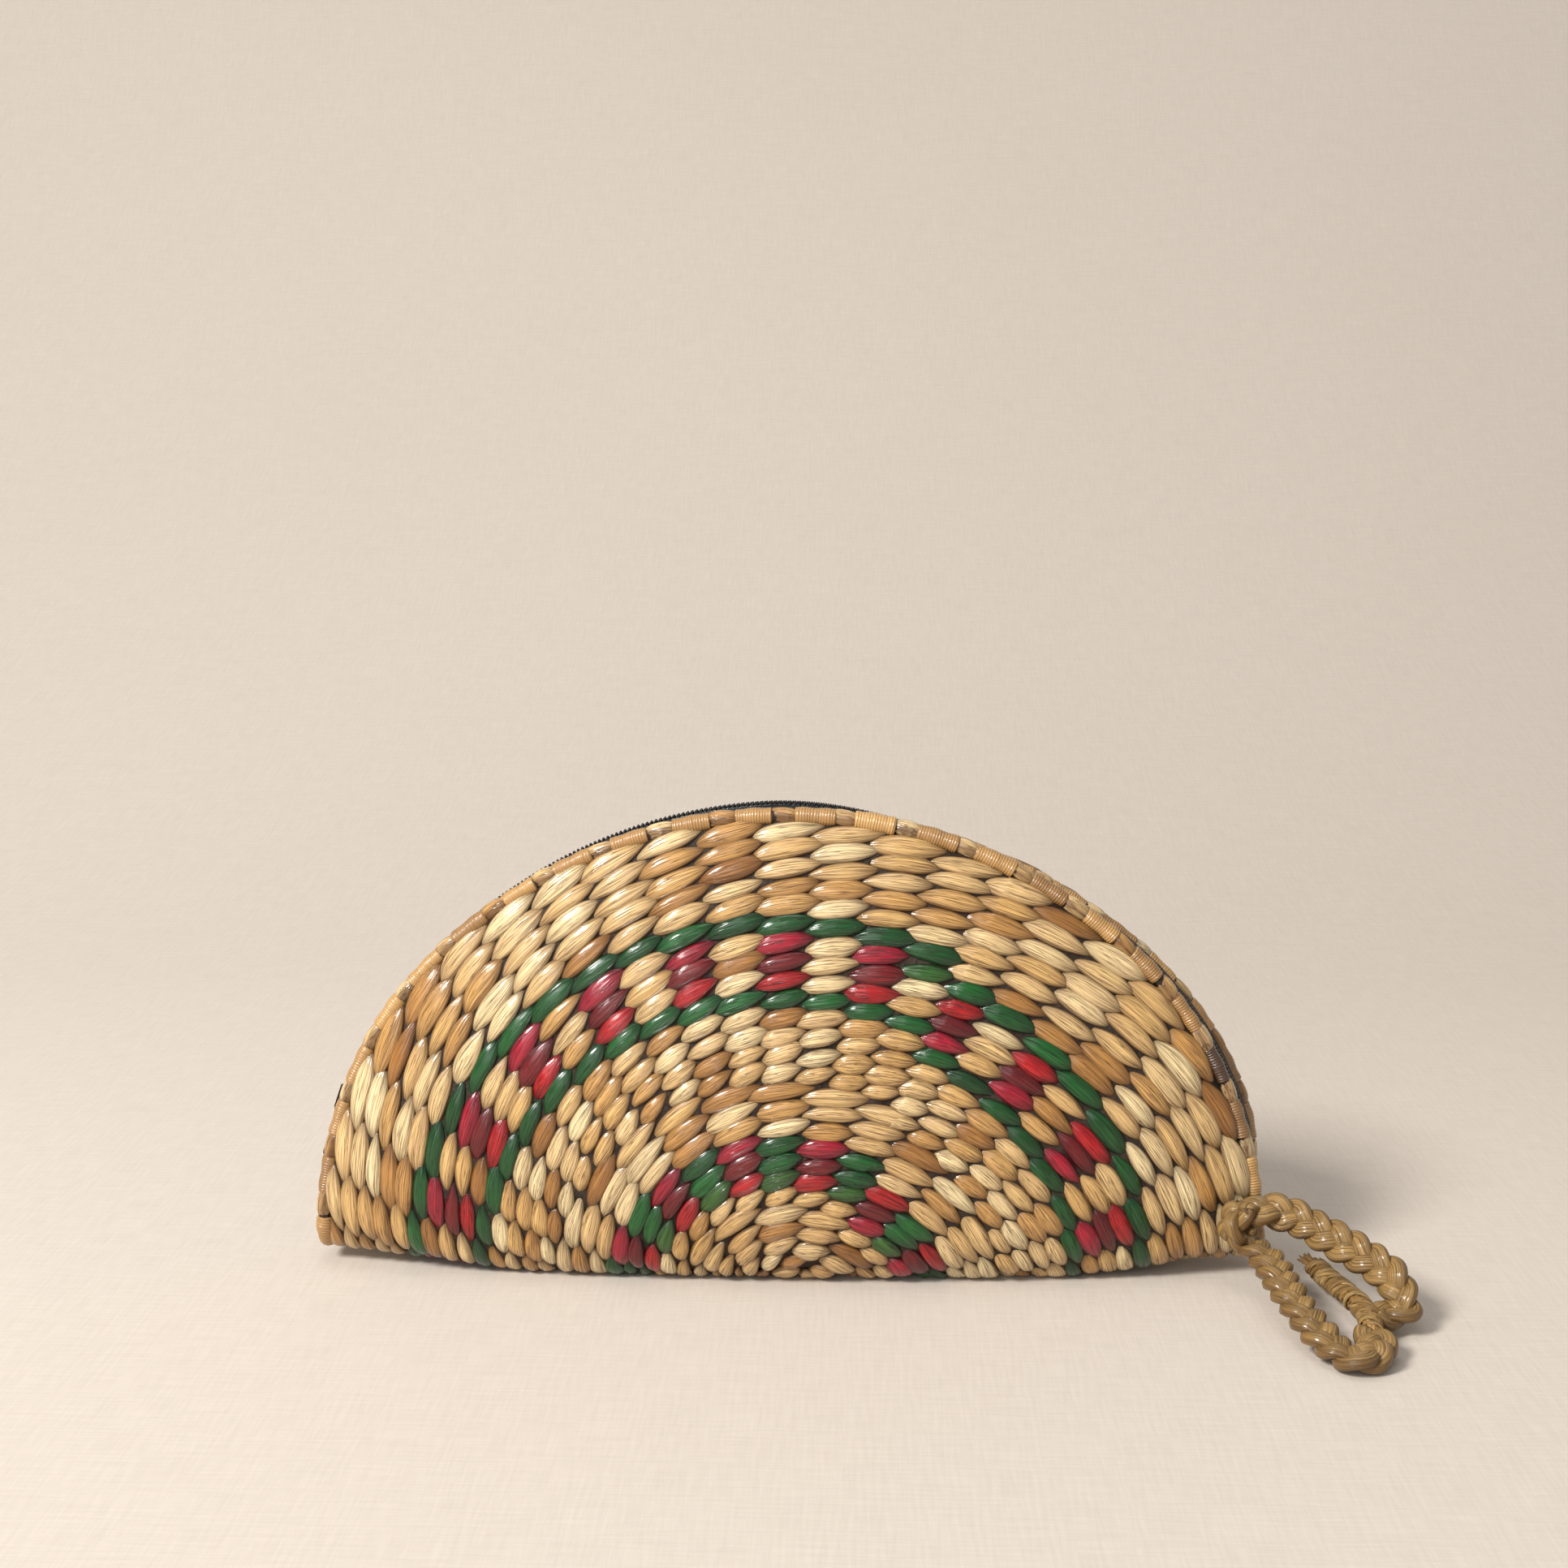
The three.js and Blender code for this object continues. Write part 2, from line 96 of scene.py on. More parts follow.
def side_point(u, t, side):
    """A point of the mat's middle surface, at t from 0 at the fold to 1 at the rim."""
    t = np.clip(t, 0, 1)
    top = side_top(u)
    height = top * t
    turned = np.sqrt(1 - (1 - np.clip(top / CORNER_TURN, 0, 1)) ** 2)
    mouth = END_HALF + (MOUTH_HALF - END_HALF) * turned
    straight = floor_half(u) + (mouth - floor_half(u)) * t
    swell = BELLY * (top / RISE) ** BELLY_TAPER * belly_shape(t)
    back = side > 0
    shift = np.where(back, BACK_SHIFT * smooth_share(height, 0, SHIFT_START), 0)
    drop = np.where(back, BACK_DROP * height / RISE, 0)
    return np.stack([u + shift, side * (straight + swell),
                     WALL / 2 + fold_lift(u) + height - drop], -1)


def unit(v):
    return v / np.maximum(np.linalg.norm(v, axis=-1, keepdims=True), 1e-9)


def side_normal(u, t, side):
    """The wall's outward direction, from four points close round the given one."""
    step = 0.002
    inner = side_point(u - step * HALF_SPAN, t, side)
    outer = side_point(np.minimum(HALF_SPAN, u + step * HALF_SPAN), t, side)
    below, above = side_point(u, t - step, side), side_point(u, t + step, side)
    return unit(np.cross(outer - inner, above - below)) * -np.asarray(side)[..., None]


def mat_point(share, angle):
    """Point and outward normal of the flat round mat once it is folded. angle starts at the
    right corner and runs over the front to the left corner, then over the back."""
    share, angle = np.broadcast_arrays(np.abs(share), angle)
    sidewise = np.clip(share * np.cos(angle), -TIP_SHARE, TIP_SHARE)
    u = HALF_SPAN * sidewise
    width = np.sqrt(1 - sidewise ** 2)
    reach = np.minimum(1, share * np.abs(np.sin(angle)) / width)
    side = np.where(np.sin(angle) < 0, BACK, FRONT)
    under = floor_half(u) / (floor_half(u) + SIDE_SLACK * side_top(u))
    t = (reach - under) / (1 - under)
    flat = np.stack([u, side * np.minimum(1, reach / under) * floor_half(u),
                     WALL / 2 + fold_lift(u)], -1)
    is_flat = (t <= 0)[..., None]
    point = np.where(is_flat, flat, side_point(u, t, side))
    outward = side_normal(u, np.maximum(t, NEAR_FOLD), side)
    normal = np.where(is_flat, np.array([0, 0, -1.0]), outward)
    return point, normal


def rim_point(angle, side):
    return side_point(HALF_SPAN * np.cos(angle), np.ones_like(angle), np.full_like(angle, side))


# Lines that the strands follow

def run_along(points):
    """How far each point of a line is from its start."""
    return np.concatenate([[0], np.cumsum(np.linalg.norm(np.diff(points, axis=0), axis=1))])


def at_places(places, run, vectors, period=None):
    """Points or directions of a line, looked up by their distance from its start."""
    return np.stack([np.interp(places, run, vectors[:, k], period=period) for k in range(3)], -1)


def resample(points, step=None, count=None):
    """Even points along an open line, and its length."""
    run = run_along(points)
    count = count or max(2, int(round(run[-1] / step)) + 1)
    return at_places(np.linspace(0, run[-1], count), run, points), run[-1]


def smoothed(points, rounds, closed=False):
    """The line with its corners eased, a little more with each round."""
    for _ in range(rounds):
        before, after = np.roll(points, 1, 0), np.roll(points, -1, 0)
        eased = (before + 2 * points + after) / 4
        if not closed:
            eased[0], eased[-1] = points[0], points[-1]
        points = eased
    return points


def tangents(points, closed=False):
    if closed:
        return unit(np.roll(points, -1, 0) - np.roll(points, 1, 0))
    return unit(np.gradient(points, axis=0))


def square_to(vectors, along):
    """Directions at right angles to a line, as near as can be to the given ones."""
    return unit(vectors - (vectors * along).sum(-1, keepdims=True) * along)


def round_turn(around):
    """Even angles round a strand's section, or round the whole mat."""
    return np.linspace(0, 2 * np.pi, around, endpoint=False)


# Meshes from closed rings of points

def loft(name, rings, along, tone, closed=False):
    """One mesh of many closed pieces. rings is (pieces, steps, around, 3) in millimetres, along
    is (..., 2) with the place along and across each strand, and tone (pieces, 2) its shade."""
    pieces, steps, around, _ = rings.shape
    along = np.broadcast_to(along, (pieces, steps, around, 2))
    ring_at = np.arange(steps * around).reshape(steps, around)
    turned = np.roll(ring_at, -1, axis=1)
    if closed:
        a, b = ring_at, turned
        c, d = np.roll(turned, -1, 0), np.roll(ring_at, -1, 0)
    else:
        a, b, c, d = ring_at[:-1], turned[:-1], turned[1:], ring_at[1:]
    quads = np.stack([a, b, c, d], -1).reshape(-1, 4)
    points = rings.reshape(pieces, -1, 3)
    marks = along.reshape(pieces, -1, 2)
    faces = [quads]
    if not closed:
        ends = np.stack([rings[:, 0].mean(1), rings[:, -1].mean(1)], 1)
        points = np.concatenate([points, ends], 1)
        end_marks = np.stack([along[:, 0].mean(1), along[:, -1].mean(1)], 1)
        marks = np.concatenate([marks, end_marks], 1)
        first, last = steps * around, steps * around + 1
        start = np.stack([np.full(around, first), turned[0], ring_at[0]], -1)
        end = np.stack([np.full(around, last), ring_at[-1], turned[-1]], -1)
        faces += [start, end]
    per_piece = points.shape[1]
    offsets = np.arange(pieces) * per_piece
    corners = [np.add.outer(offsets, f).reshape(-1, f.shape[1]) for f in faces]
    sizes = np.concatenate([np.full(len(c), c.shape[1]) for c in corners])
    order = np.concatenate([c.ravel() for c in corners]).astype(np.int32)
    mesh = bpy.data.meshes.new(name)
    mesh.vertices.add(pieces * per_piece)
    mesh.vertices.foreach_set("co", (points.reshape(-1) * MM).astype(np.float32))
    mesh.loops.add(len(order))
    mesh.loops.foreach_set("vertex_index", order)
    mesh.polygons.add(len(sizes))
    starts = np.concatenate([[0], np.cumsum(sizes)[:-1]]).astype(np.int32)
    mesh.polygons.foreach_set("loop_start", starts)
    mesh.polygons.foreach_set("use_smooth", np.ones(len(sizes), bool))
    mesh.update(calc_edges=True)
    tones = np.repeat(np.asarray(tone, float), per_piece, axis=0)
    for layer, values in (("Along", marks.reshape(-1, 2)), ("Tone", tones)):
        uv = mesh.uv_layers.new(name=layer)
        uv.data.foreach_set("uv", values[order].astype(np.float32).ravel())
    mesh.validate()
    made = bpy.data.objects.new(name, mesh)
    bpy.context.scene.collection.objects.link(made)
    return made


def tube_rings(path, radius, around, reference, wide=1.0, closed=False):
    """Rings round a line. reference gives the section's up at each point, radius may vary by
    point and by place round the section, and wide stretches the section sideways."""
    forward = tangents(path, closed)
    up = square_to(reference, forward)
    sideways = np.cross(forward, up)
    turn = round_turn(around)
    radius = np.broadcast_to(radius, (len(path), around))
    return (path[:, None]
            + sideways[:, None] * (radius * np.cos(turn) * wide)[..., None]
            + up[:, None] * (radius * np.sin(turn))[..., None])


def strand_marks(steps, around, ends=(0, 1)):
    """Place along a strand, and across it as seen from either face."""
    across = 0.5 + 0.5 * np.cos(round_turn(around))
    return np.stack(np.meshgrid(np.linspace(*ends, steps), across, indexing="ij"), -1)


# Twined weave

# Columns of stitches round the whole mat. Each line says how far in from the rim it holds.
COLUMNS = [
    {"to_row": 14, "columns": 48},
    {"to_row": 21, "columns": 28},
    {"to_row": 25, "columns": 16},
    {"to_row": 29, "columns": 8},
]
# Dyed rows, counted in from the rim
GREEN_ROWS = (6, 10)
CHECK_ROWS = (7, 8, 9)
INNER_BAND = (18, 19, 20)
# Shades along the red's range, from crimson through bright to dark, by row of a check
RED_LEFT = (0.10, 0.92, 0.55)
RED_RIGHT = (0.55, 0.95, 0.18)
JOG, JOG_WIDTH = math.radians(62), 0.13     # where each dyed round starts and ends
STITCH_LENGTH = 1.36            # in columns
STITCH_SLANT = 0.46             # in rows, from the middle of a stitch to either tip
STITCH_HALF_WIDTH = 0.585       # in rows, a little over half, as each stitch presses on the next
SHORT_THICK, MORE_THICK = 0.4, 1.05     # half a short stitch's thickness, and what a full one adds
FULL_LENGTH = 9                 # of a stitch that has its full thickness
LEADING_DIP, TRAILING_DIP = 1.7, 0.8    # of a stitch's two tips, under its middle
STITCH_STEPS, STITCH_AROUND = 17, 14
OVERRUN = 0.3                   # of each row's line past both its ends, in radians
# The wall behind the stitches: how far out and in it reaches, and the ribs its spokes make
CORE_OUT, CORE_IN, RIB_HEIGHT, SPOKE_PAIRS = 0.45, -1.9, 0.55, 24
CORE_AROUND, OUTER_STEPS, INNER_STEPS = 480, 40, 26


def columns_at(row):
    """Stitches in a whole row. There are fewer columns towards the middle of the mat."""
    return next(zone["columns"] for zone in COLUMNS if row <= zone["to_row"])


def spiral_share(angle):
    """How much of a row the weave has stepped in, over the back and on to the front's right."""
    turned = np.mod(angle, 2 * np.pi)
    return np.where(turned > np.pi, smooth_share(turned, np.pi, 2 * np.pi), 0.0) + (turned < JOG)


def dye_of(row, column, angle):
    """The strand's dye at a stitch and its shade from 0 to 1."""
    right = angle < JOG or angle > 1.5 * np.pi
    reds = RED_RIGHT if right else RED_LEFT
    if row in GREEN_ROWS:
        return "green", chance.uniform(0.15, 0.5)
    if row == CHECK_ROWS[0] and JOG < angle < JOG + JOG_WIDTH:
        return "green", 0.72
    if row in CHECK_ROWS and column % 2 == 0:
        return "red", reds[row - CHECK_ROWS[0]]
    if row in INNER_BAND:
        if column % 2 == 0:
            return "red", reds[row - INNER_BAND[0]]
        return "green", 0.75 if row == INNER_BAND[2] else chance.uniform(0.2, 0.55)
    return "natural", chance.uniform(0, 1)


def lay_stitches():
    """A list of stitches with their row's place, their angles along the row and their dye."""
    stitches = []
    around = np.linspace(-OVERRUN, 2 * np.pi + OVERRUN, 2400)
    for row in range(ROWS + 1):
        level = (ROWS - row + 0.5) - spiral_share(around)
        line, _ = mat_point(np.maximum(level, 0.3) / ROWS * EDGE_SHARE, around)
        steps = np.linalg.norm(np.diff(line, axis=0), axis=1)
        run = np.concatenate([[0], np.cumsum(np.minimum(steps, 3 * np.median(steps) + 0.5))])
        start, end = np.interp([0, 2 * np.pi], around, run)
        columns = columns_at(row)
        for column in range(columns):
            centre = start + (end - start) * (column + chance.uniform(-0.03, 0.03)) / columns
            angle = np.interp(centre, run, around)
            stitch_level = (ROWS - row + 0.5) - float(spiral_share(np.array(angle)))
            if not 0.35 < stitch_level < ROWS - 0.1:
                continue
            half = (end - start) / columns * STITCH_LENGTH / 2 * chance.uniform(0.94, 1.06)
            reach = np.interp(centre + half * np.linspace(-1, 1, STITCH_STEPS), run, around)
            dye, tone = dye_of(row, column, float(angle) % (2 * np.pi))
            stitches.append({"level": stitch_level, "angles": reach, "length": 2 * half,
                             "dye": dye, "tone": tone,
                             "back": (float(angle) % (2 * np.pi)) > np.pi})
    return stitches


def stitch_rings(stitches):
    """Almond-shaped stitches, domed and pointed. Going clockwise, the leading tip rises outward
    over the next column and the trailing tip is tucked inward under its neighbour."""
    count = len(stitches)
    a = np.linspace(-0.99, 0.99, STITCH_STEPS)[None, :, None]
    turn = round_turn(STITCH_AROUND)[None, None, :]

    def vary(low, high):
        return chance.uniform(low, high, (count, 1, 1))

    level = np.array([s["level"] for s in stitches])[:, None, None]
    angles = np.array([s["angles"] for s in stitches])[:, :, None]
    lengths = np.array([s["length"] for s in stitches])[:, None, None]
    fullness = np.clip(lengths / FULL_LENGTH, 0.45, 1)
    fat = vary(-0.2, 0.14)
    taper = np.maximum(0, 1 - np.abs(a - fat * (1 - a * a)) ** vary(1.9, 2.6)) ** 0.92
    half_rows = STITCH_HALF_WIDTH * vary(0.86, 1.12) * taper
    bend = vary(-0.09, 0.09) * (1 - a * a)
    slant = STITCH_SLANT * vary(0.8, 1.15) * (a + 0.35 * a ** 3) / 1.35
    rows = level - slant + bend + half_rows * np.cos(turn)
    thick = (SHORT_THICK + MORE_THICK * fullness) * vary(0.88, 1.1) * taper ** 0.72
    grooves = (1 + 0.05 * np.cos(5 * turn + vary(0, 6))
               + 0.03 * np.cos(7 * turn + 2 * a + vary(0, 6)))
    crest = WALL / 2 + 0.15 - thick.max(axis=1, keepdims=True) + vary(-0.25, 0.05)
    dip = np.where(a > 0, LEADING_DIP, TRAILING_DIP) * np.abs(a) ** 2.4 * fullness
    lift = crest - dip + thick * grooves * np.sin(turn)
    point, normal = mat_point(np.maximum(rows, 0.04) / ROWS * EDGE_SHARE, angles)
    rings = point + normal * lift[..., None]
    rings[..., 2] = np.maximum(rings[..., 2], 0.05)
    return rings


def weave(name, stitches):
    """The stitches of one dye as a single mesh."""
    tones = [(s["tone"], chance.uniform(0, 1)) for s in stitches]
    marks = strand_marks(STITCH_STEPS, STITCH_AROUND)[None]
    made = loft(name, stitch_rings(stitches), marks, tones)
    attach(made, "root")
    return made


def mat_core():
    """The wall behind the stitches, ribbed by the spokes that run from the mat's middle out."""
    angles = round_turn(CORE_AROUND)
    levels = np.concatenate([np.linspace(0.02, 1, OUTER_STEPS), np.linspace(1, 0.02, INNER_STEPS)])
    rings = []
    for step, level in enumerate(levels):
        point, normal = mat_point(np.full_like(angles, level * EDGE_SHARE), angles)
        spokes = np.abs(np.cos(angles * SPOKE_PAIRS)) ** 3 * smooth_share(level, 0.15, 0.5)
        offset = CORE_OUT + RIB_HEIGHT * spokes if step < OUTER_STEPS else CORE_IN
        rings.append(point + normal * np.broadcast_to(offset, angles.shape)[:, None])
    rings = np.array(rings)
    rings[..., 2] = np.maximum(rings[..., 2], 0.3)
    turn = np.repeat(levels[:, None], len(angles), 1)
    marks = np.stack([turn, np.broadcast_to(angles / (2 * np.pi), turn.shape)], -1)
    made = loft("mat_core", rings[None], marks[None], [(0.5, 0.5)])
    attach(made, "root")
    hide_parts("woven_body")
    return made


# Rim

RIM_COLUMNS = 48
WRAP_SHARE = 0.66               # of a column, the rest is one strand drawn over the rim
WINDING = 0.8                   # width of one turn of the rim's winding
WRAP_RADIUS, RIM_CORE_RADIUS = 2.25, 2.0
WRAP_STEPS, WRAP_AROUND = 72, 14
KNOT_STEPS, KNOT_AROUND = 17, 14
# Columns of the rim, counted from the right corner over the front, that stand out
THICK_WRAP, DARK_WRAP, THICKER = 10, 3, 0.35


def rim_line(step):
    """The rim's closed line, over the front and back again behind. Where the mouth is drawn shut
    on the right, the front rim stands out and the back one is tucked in."""
    angles = np.linspace(0, np.pi, 700)
    closed = (1 - smooth_share(angles, SINK_END, SINK_START))[:, None]
    front, back = rim_point(angles, FRONT), rim_point(angles, BACK)
    front = front + rim_outward(front) * FRONT_PROUD * closed
    back = back - rim_outward(back) * BACK_SUNK * closed
    path = np.concatenate([front, back[::-1]])
    path, _ = resample(np.concatenate([path, path[:1]]), step=1.0)
    path = smoothed(path[:-1], 6, closed=True)
    path, length = resample(np.concatenate([path, path[:1]]), step=step)
    return path[:-1], length


def rim_outward(path):
    """Away from a point just over the middle of the fold."""
    return unit(path - np.array([0, 0, 6.0]))


def rim_places(path, length, places):
    """Points of the closed rim, by their distance along it."""
    return at_places(places, np.linspace(0, length, len(path), endpoint=False), path, period=length)


def rim_pieces():
    """A core with, for each column of the mat, a length of fine winding and one plump strand."""
    path, length = rim_line(0.5)
    column = length / RIM_COLUMNS
    turn = round_turn(WRAP_AROUND)
    wraps, wrap_tones, knots, knot_tones = [], [], [], []
    core = tube_rings(path[::2], RIM_CORE_RADIUS, 8, rim_outward(path[::2]), closed=True)
    for k in range(RIM_COLUMNS):
        share = WRAP_SHARE + chance.uniform(-0.06, 0.06)
        middle = (k + 0.5 + chance.uniform(-0.03, 0.03)) * column
        places = middle + column * share * np.linspace(-0.5, 0.5, WRAP_STEPS)
        line = rim_places(path, length, places)
        phase = places[:, None] / WINDING * np.pi - turn[None] * 0.5
        end = 1 - np.abs(np.linspace(-1, 1, WRAP_STEPS)[:, None]) ** 30 * 0.3
        swell = 1 + 0.05 * np.sin(places[:, None] * 0.9 + chance.uniform(0, 6))
        radius = WRAP_RADIUS + chance.uniform(-0.1, 0.2) + 0.2 * np.abs(np.sin(phase))
        radius = (radius + (THICKER if k == THICK_WRAP else 0)) * end * swell
        wraps.append(tube_rings(line, radius, WRAP_AROUND, rim_outward(line)))
        tone = {THICK_WRAP: 1.0, DARK_WRAP: 0.0}.get(k, chance.uniform(0.1, 0.95))
        wrap_tones.append((tone, chance.uniform(0, 1)))
        knots.append(rim_knot(path, length, middle + column / 2, column * (1.26 - share) / 2))
        knot_tones.append((chance.uniform(0.1, 1), chance.uniform(0, 1)))
    made = {
        "rim_core": loft("rim_core", core[None], strand_marks(len(core), 8)[None],
                         [(0.2, 0.4)], closed=True),
        "rim_wraps": loft("rim_wraps", np.array(wraps),
                          strand_marks(WRAP_STEPS, WRAP_AROUND)[None], wrap_tones),
        "rim_knots": loft("rim_knots", np.array(knots),
                          strand_marks(KNOT_STEPS, KNOT_AROUND)[None], knot_tones),
    }
    for piece in made.values():
        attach(piece, "root")
        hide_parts("rim")
    return made


def rim_knot(path, length, at, half):
    """A plump strand laid along the rim, a little slantwise, where a column's end goes round it."""
    a = np.linspace(-0.985, 0.985, KNOT_STEPS)
    line = rim_places(path, length, at + half * a)
    forward = tangents(line)
    out = square_to(rim_outward(line), forward)
    sideways = np.cross(forward, out)
    slant = chance.uniform(0.3, 0.8) * a[:, None]
    line = line + sideways * slant + out * (0.1 + 0.4 * slant)
    taper = (1 - np.abs(a) ** 2.6) ** 0.62
    girth = chance.uniform(2.3, 2.65)
    ridges = 1 + 0.04 * np.cos(6 * round_turn(KNOT_AROUND) + chance.uniform(0, 6))
    return tube_rings(line, girth * taper[:, None] * ridges[None], KNOT_AROUND, out)


# Zip

TOOTH_PITCH = 1.35
LOOP_STEPS, LOOP_AROUND = 7, 6
LOOP_MIDDLE, LOOP_HALF = 1.05, 1.55     # from the zip's middle line, so the two sides interlock
LOOP_THREAD, LOOP_BOW = 0.36, 0.42      # the thread's radius, and how far a loop arches up
CORD_RADIUS, CORD_WIDE = 0.75, 3.1


def mouth_line(count):
    """The line of the teeth from left to right, sunk between the rims down the right side."""
    start = math.asin(ZIP_STOP / RISE)
    angles = np.linspace(np.pi - start, start, 1400)
    front, back = rim_point(angles, FRONT), rim_point(angles, BACK)
    middle = (front + back) / 2
    along = tangents(middle)
    across = square_to(back - front, along)
    out = np.cross(along, across)
    raised = smooth_share(angles, SINK_END, SINK_START)[:, None]
    middle = middle + out * ((TEETH_RAISE + COIL_PROUD) * raised - TEETH_SINK * (1 - raised))
    run = run_along(middle)
    places = np.linspace(0, run[-1], count)
    return [at_places(places, run, v) for v in (middle, along, across, out)]


def zip_coil():
    """A coil zip: a loop of nylon for each tooth, from the two sides in turn, over a flat cord."""
    _, length = resample(rim_point(np.linspace(0.1, np.pi - 0.1, 500), FRONT), step=1)
    count = int(length / (TOOTH_PITCH / 2))
    middle, along, across, out = mouth_line(count)
    side = np.where(np.arange(count) % 2 == 0, 1, -1)[:, None, None]
    a = np.linspace(-1, 1, LOOP_STEPS)
    reach = side * (LOOP_MIDDLE + LOOP_HALF * a)[None, :, None]
    bow = LOOP_BOW * (1 - a ** 2)
    turn = round_turn(LOOP_AROUND)
    round_end = (1 - np.abs(a) ** 5) ** 0.5 + 0.12
    centre = (middle[:, None] + across[:, None] * reach
              + out[:, None] * (0.3 + bow)[None, :, None])
    thick = LOOP_THREAD * round_end[None, :, None, None]
    rings = (centre[:, :, None]
             + along[:, None, None] * thick * np.cos(turn)[None, None, :, None]
             + out[:, None, None] * thick * 1.5 * np.sin(turn)[None, None, :, None])
    coil = loft("zip_coil", rings, strand_marks(LOOP_STEPS, LOOP_AROUND)[None],
                [(0.5, chance.uniform()) for _ in range(count)])
    line = middle[::3] - out[::3] * 0.25
    cord = tube_rings(line, CORD_RADIUS, 8, out[::3], wide=CORD_WIDE)
    cord_piece = loft("zip_coil_cord", cord[None], strand_marks(len(cord), 8)[None], [(0.4, 0.3)])
    for piece in (coil, cord_piece):
        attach(piece, "root")
        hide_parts("zip_teeth")
    return coil, cord_piece


# Wrist strap

TIE_INSET, TIE_HEIGHT, TIE_RADIUS = 7, 14, 1.5
BRAID_WIDTH, BRAID_THICKNESS = 10.5, 6
STRAP_REACH, STRAP_SPREAD = 58, 38
JOIN_RADIUS, FLOOR_GAP = 3.6, 0.2
JOIN_SHARE = 0.28               # of the binding's length, where the upper leg runs in
UPPER_ROLL, ROLL_SHARES = 0.95, (0.02, 0.12)
CURL_EASE = 0.06                # of the braid's length, over which it turns into and out of the curl
CURL_RADIUS = TIE_RADIUS + CLEARANCE + BRAID_THICKNESS / 2
LYING = FLOOR_GAP + BRAID_THICKNESS / 2
# Shares of the loop's spread, its reach and the curl's height that is left
UPPER_LEG = [(0.30, 0.02, 0.96), (0.55, 0.14, 0.80), (0.80, 0.27, 0.62), (0.97, 0.40, 0.44)]
LOWER_LEG = [(0.13, 0.16, 0.80), (0.18, 0.42, 0.62), (0.27, 0.66, 0.34), (0.39, 0.87, 0.08),
             (0.54, 0.99, 0.02)]
BINDING = [(0.70, 0.78, 0.10), (0.74, 0.56, 0.14), (0.70, 0.36, 0.16), (0.61, 0.14, 0.17),
           (0.54, -0.04, 0.20)]


def tie_place():
    """The tie's direction out of the mat, its foot there and the middle of the braid's curl."""
    u = np.array([HALF_SPAN - TIE_INSET])
    t = TIE_HEIGHT / side_top(u)
    front = np.array([FRONT])
    axis = side_normal(u, t, front)[0]
    foot = side_point(u, t, front)[0] + axis * (WALL / 2 + CLEARANCE)
    return axis, foot, foot + axis * (CLEARANCE + BRAID_WIDTH / 2)


TIE_AXIS, TIE_FOOT, EYE = tie_place()


def strap_points(rows, top):
    """Points of the loop from rows of shares, where top is the height of the curl's side."""
    rows = np.array(rows)
    return np.stack([EYE[0] + rows[:, 0] * STRAP_SPREAD, EYE[1] - rows[:, 1] * STRAP_REACH,
                     LYING + rows[:, 2] * (top - LYING)], -1)


def curve_through(points, each=24):
    """A smooth line through the points, with the same number of steps between each two."""
    points = np.asarray(points, float)
    ends = np.concatenate([[2 * points[0] - points[1]], points, [2 * points[-1] - points[-2]]])
    t = np.linspace(0, 1, each, endpoint=False)[:, None]
    line = []
    for p0, p1, p2, p3 in zip(ends[:-3], ends[1:-2], ends[2:-1], ends[3:]):
        line.append(0.5 * (2 * p1 + (p2 - p0) * t + (2 * p0 - 5 * p1 + 4 * p2 - p3) * t ** 2
                           + (3 * p1 - p0 - 3 * p2 + p3) * t ** 3))
    return np.concatenate(line + [points[-1:]])


def strap_line():
    """The braid's line, the section's flat direction along it, and the binding's line."""
    binding = curve_through(strap_points(BINDING, EYE[2]))
    forward = tangents(binding)
    join = int(JOIN_SHARE * len(binding))
    sideways = -unit(np.cross(forward[join], [0, 0, 1]))
    gaps = [JOIN_RADIUS + BRAID_THICKNESS, JOIN_RADIUS - 1.5]
    upper_end = [binding[join] - sideways * gap for gap in gaps]
    lower_end = [binding[0] - forward[0] * gap for gap in (BRAID_THICKNESS, -1.5)]
    side = unit(np.cross([0, 0, 1], TIE_AXIS))
    up = unit(np.cross(TIE_AXIS, side))
    turns = np.radians(np.arange(90, 271, 30))
    curl = [EYE + CURL_RADIUS * (side * math.cos(t) + up * math.sin(t)) for t in turns]
    upper = list(strap_points(UPPER_LEG, EYE[2] + CURL_RADIUS)) + upper_end
    lower = list(strap_points(LOWER_LEG, EYE[2] - CURL_RADIUS)) + lower_end
    points = upper[::-1] + curl + lower
    line = curve_through(points)
    along = tangents(line)
    share = np.linspace(0, 1, len(line))
    first = len(upper) / (len(points) - 1)
    last = (len(upper) + len(curl) - 1) / (len(points) - 1)
    level = unit(np.cross(along, [0, 0, 1]))
    is_upper = (share < (first + last) / 2)[:, None]
    level = np.where(is_upper, -level, level)
    roll = UPPER_ROLL * smooth_share(share, *ROLL_SHARES)[:, None] * is_upper
    level = level * np.cos(roll) - np.cross(along, level) * np.sin(roll)
    in_curl = (smooth_share(share, first - CURL_EASE, first)
               * (1 - smooth_share(share, last, last + CURL_EASE)))
    wide = square_to(level + (TIE_AXIS - level) * in_curl[:, None], along)
    run = run_along(line)
    places = np.linspace(0, run[-1], int(run[-1] / 0.5))
    return at_places(places, run, line), unit(at_places(places, run, wide)), places, binding


BRAID_PITCH = 18.9              # length over which one strand returns to its edge
STRAND_WIDE, STRAND_THICK, STRAND_AROUND = 2.7, 1.75, 20
GRAIN_REPEAT = 16               # length of a strand over which its grain runs once


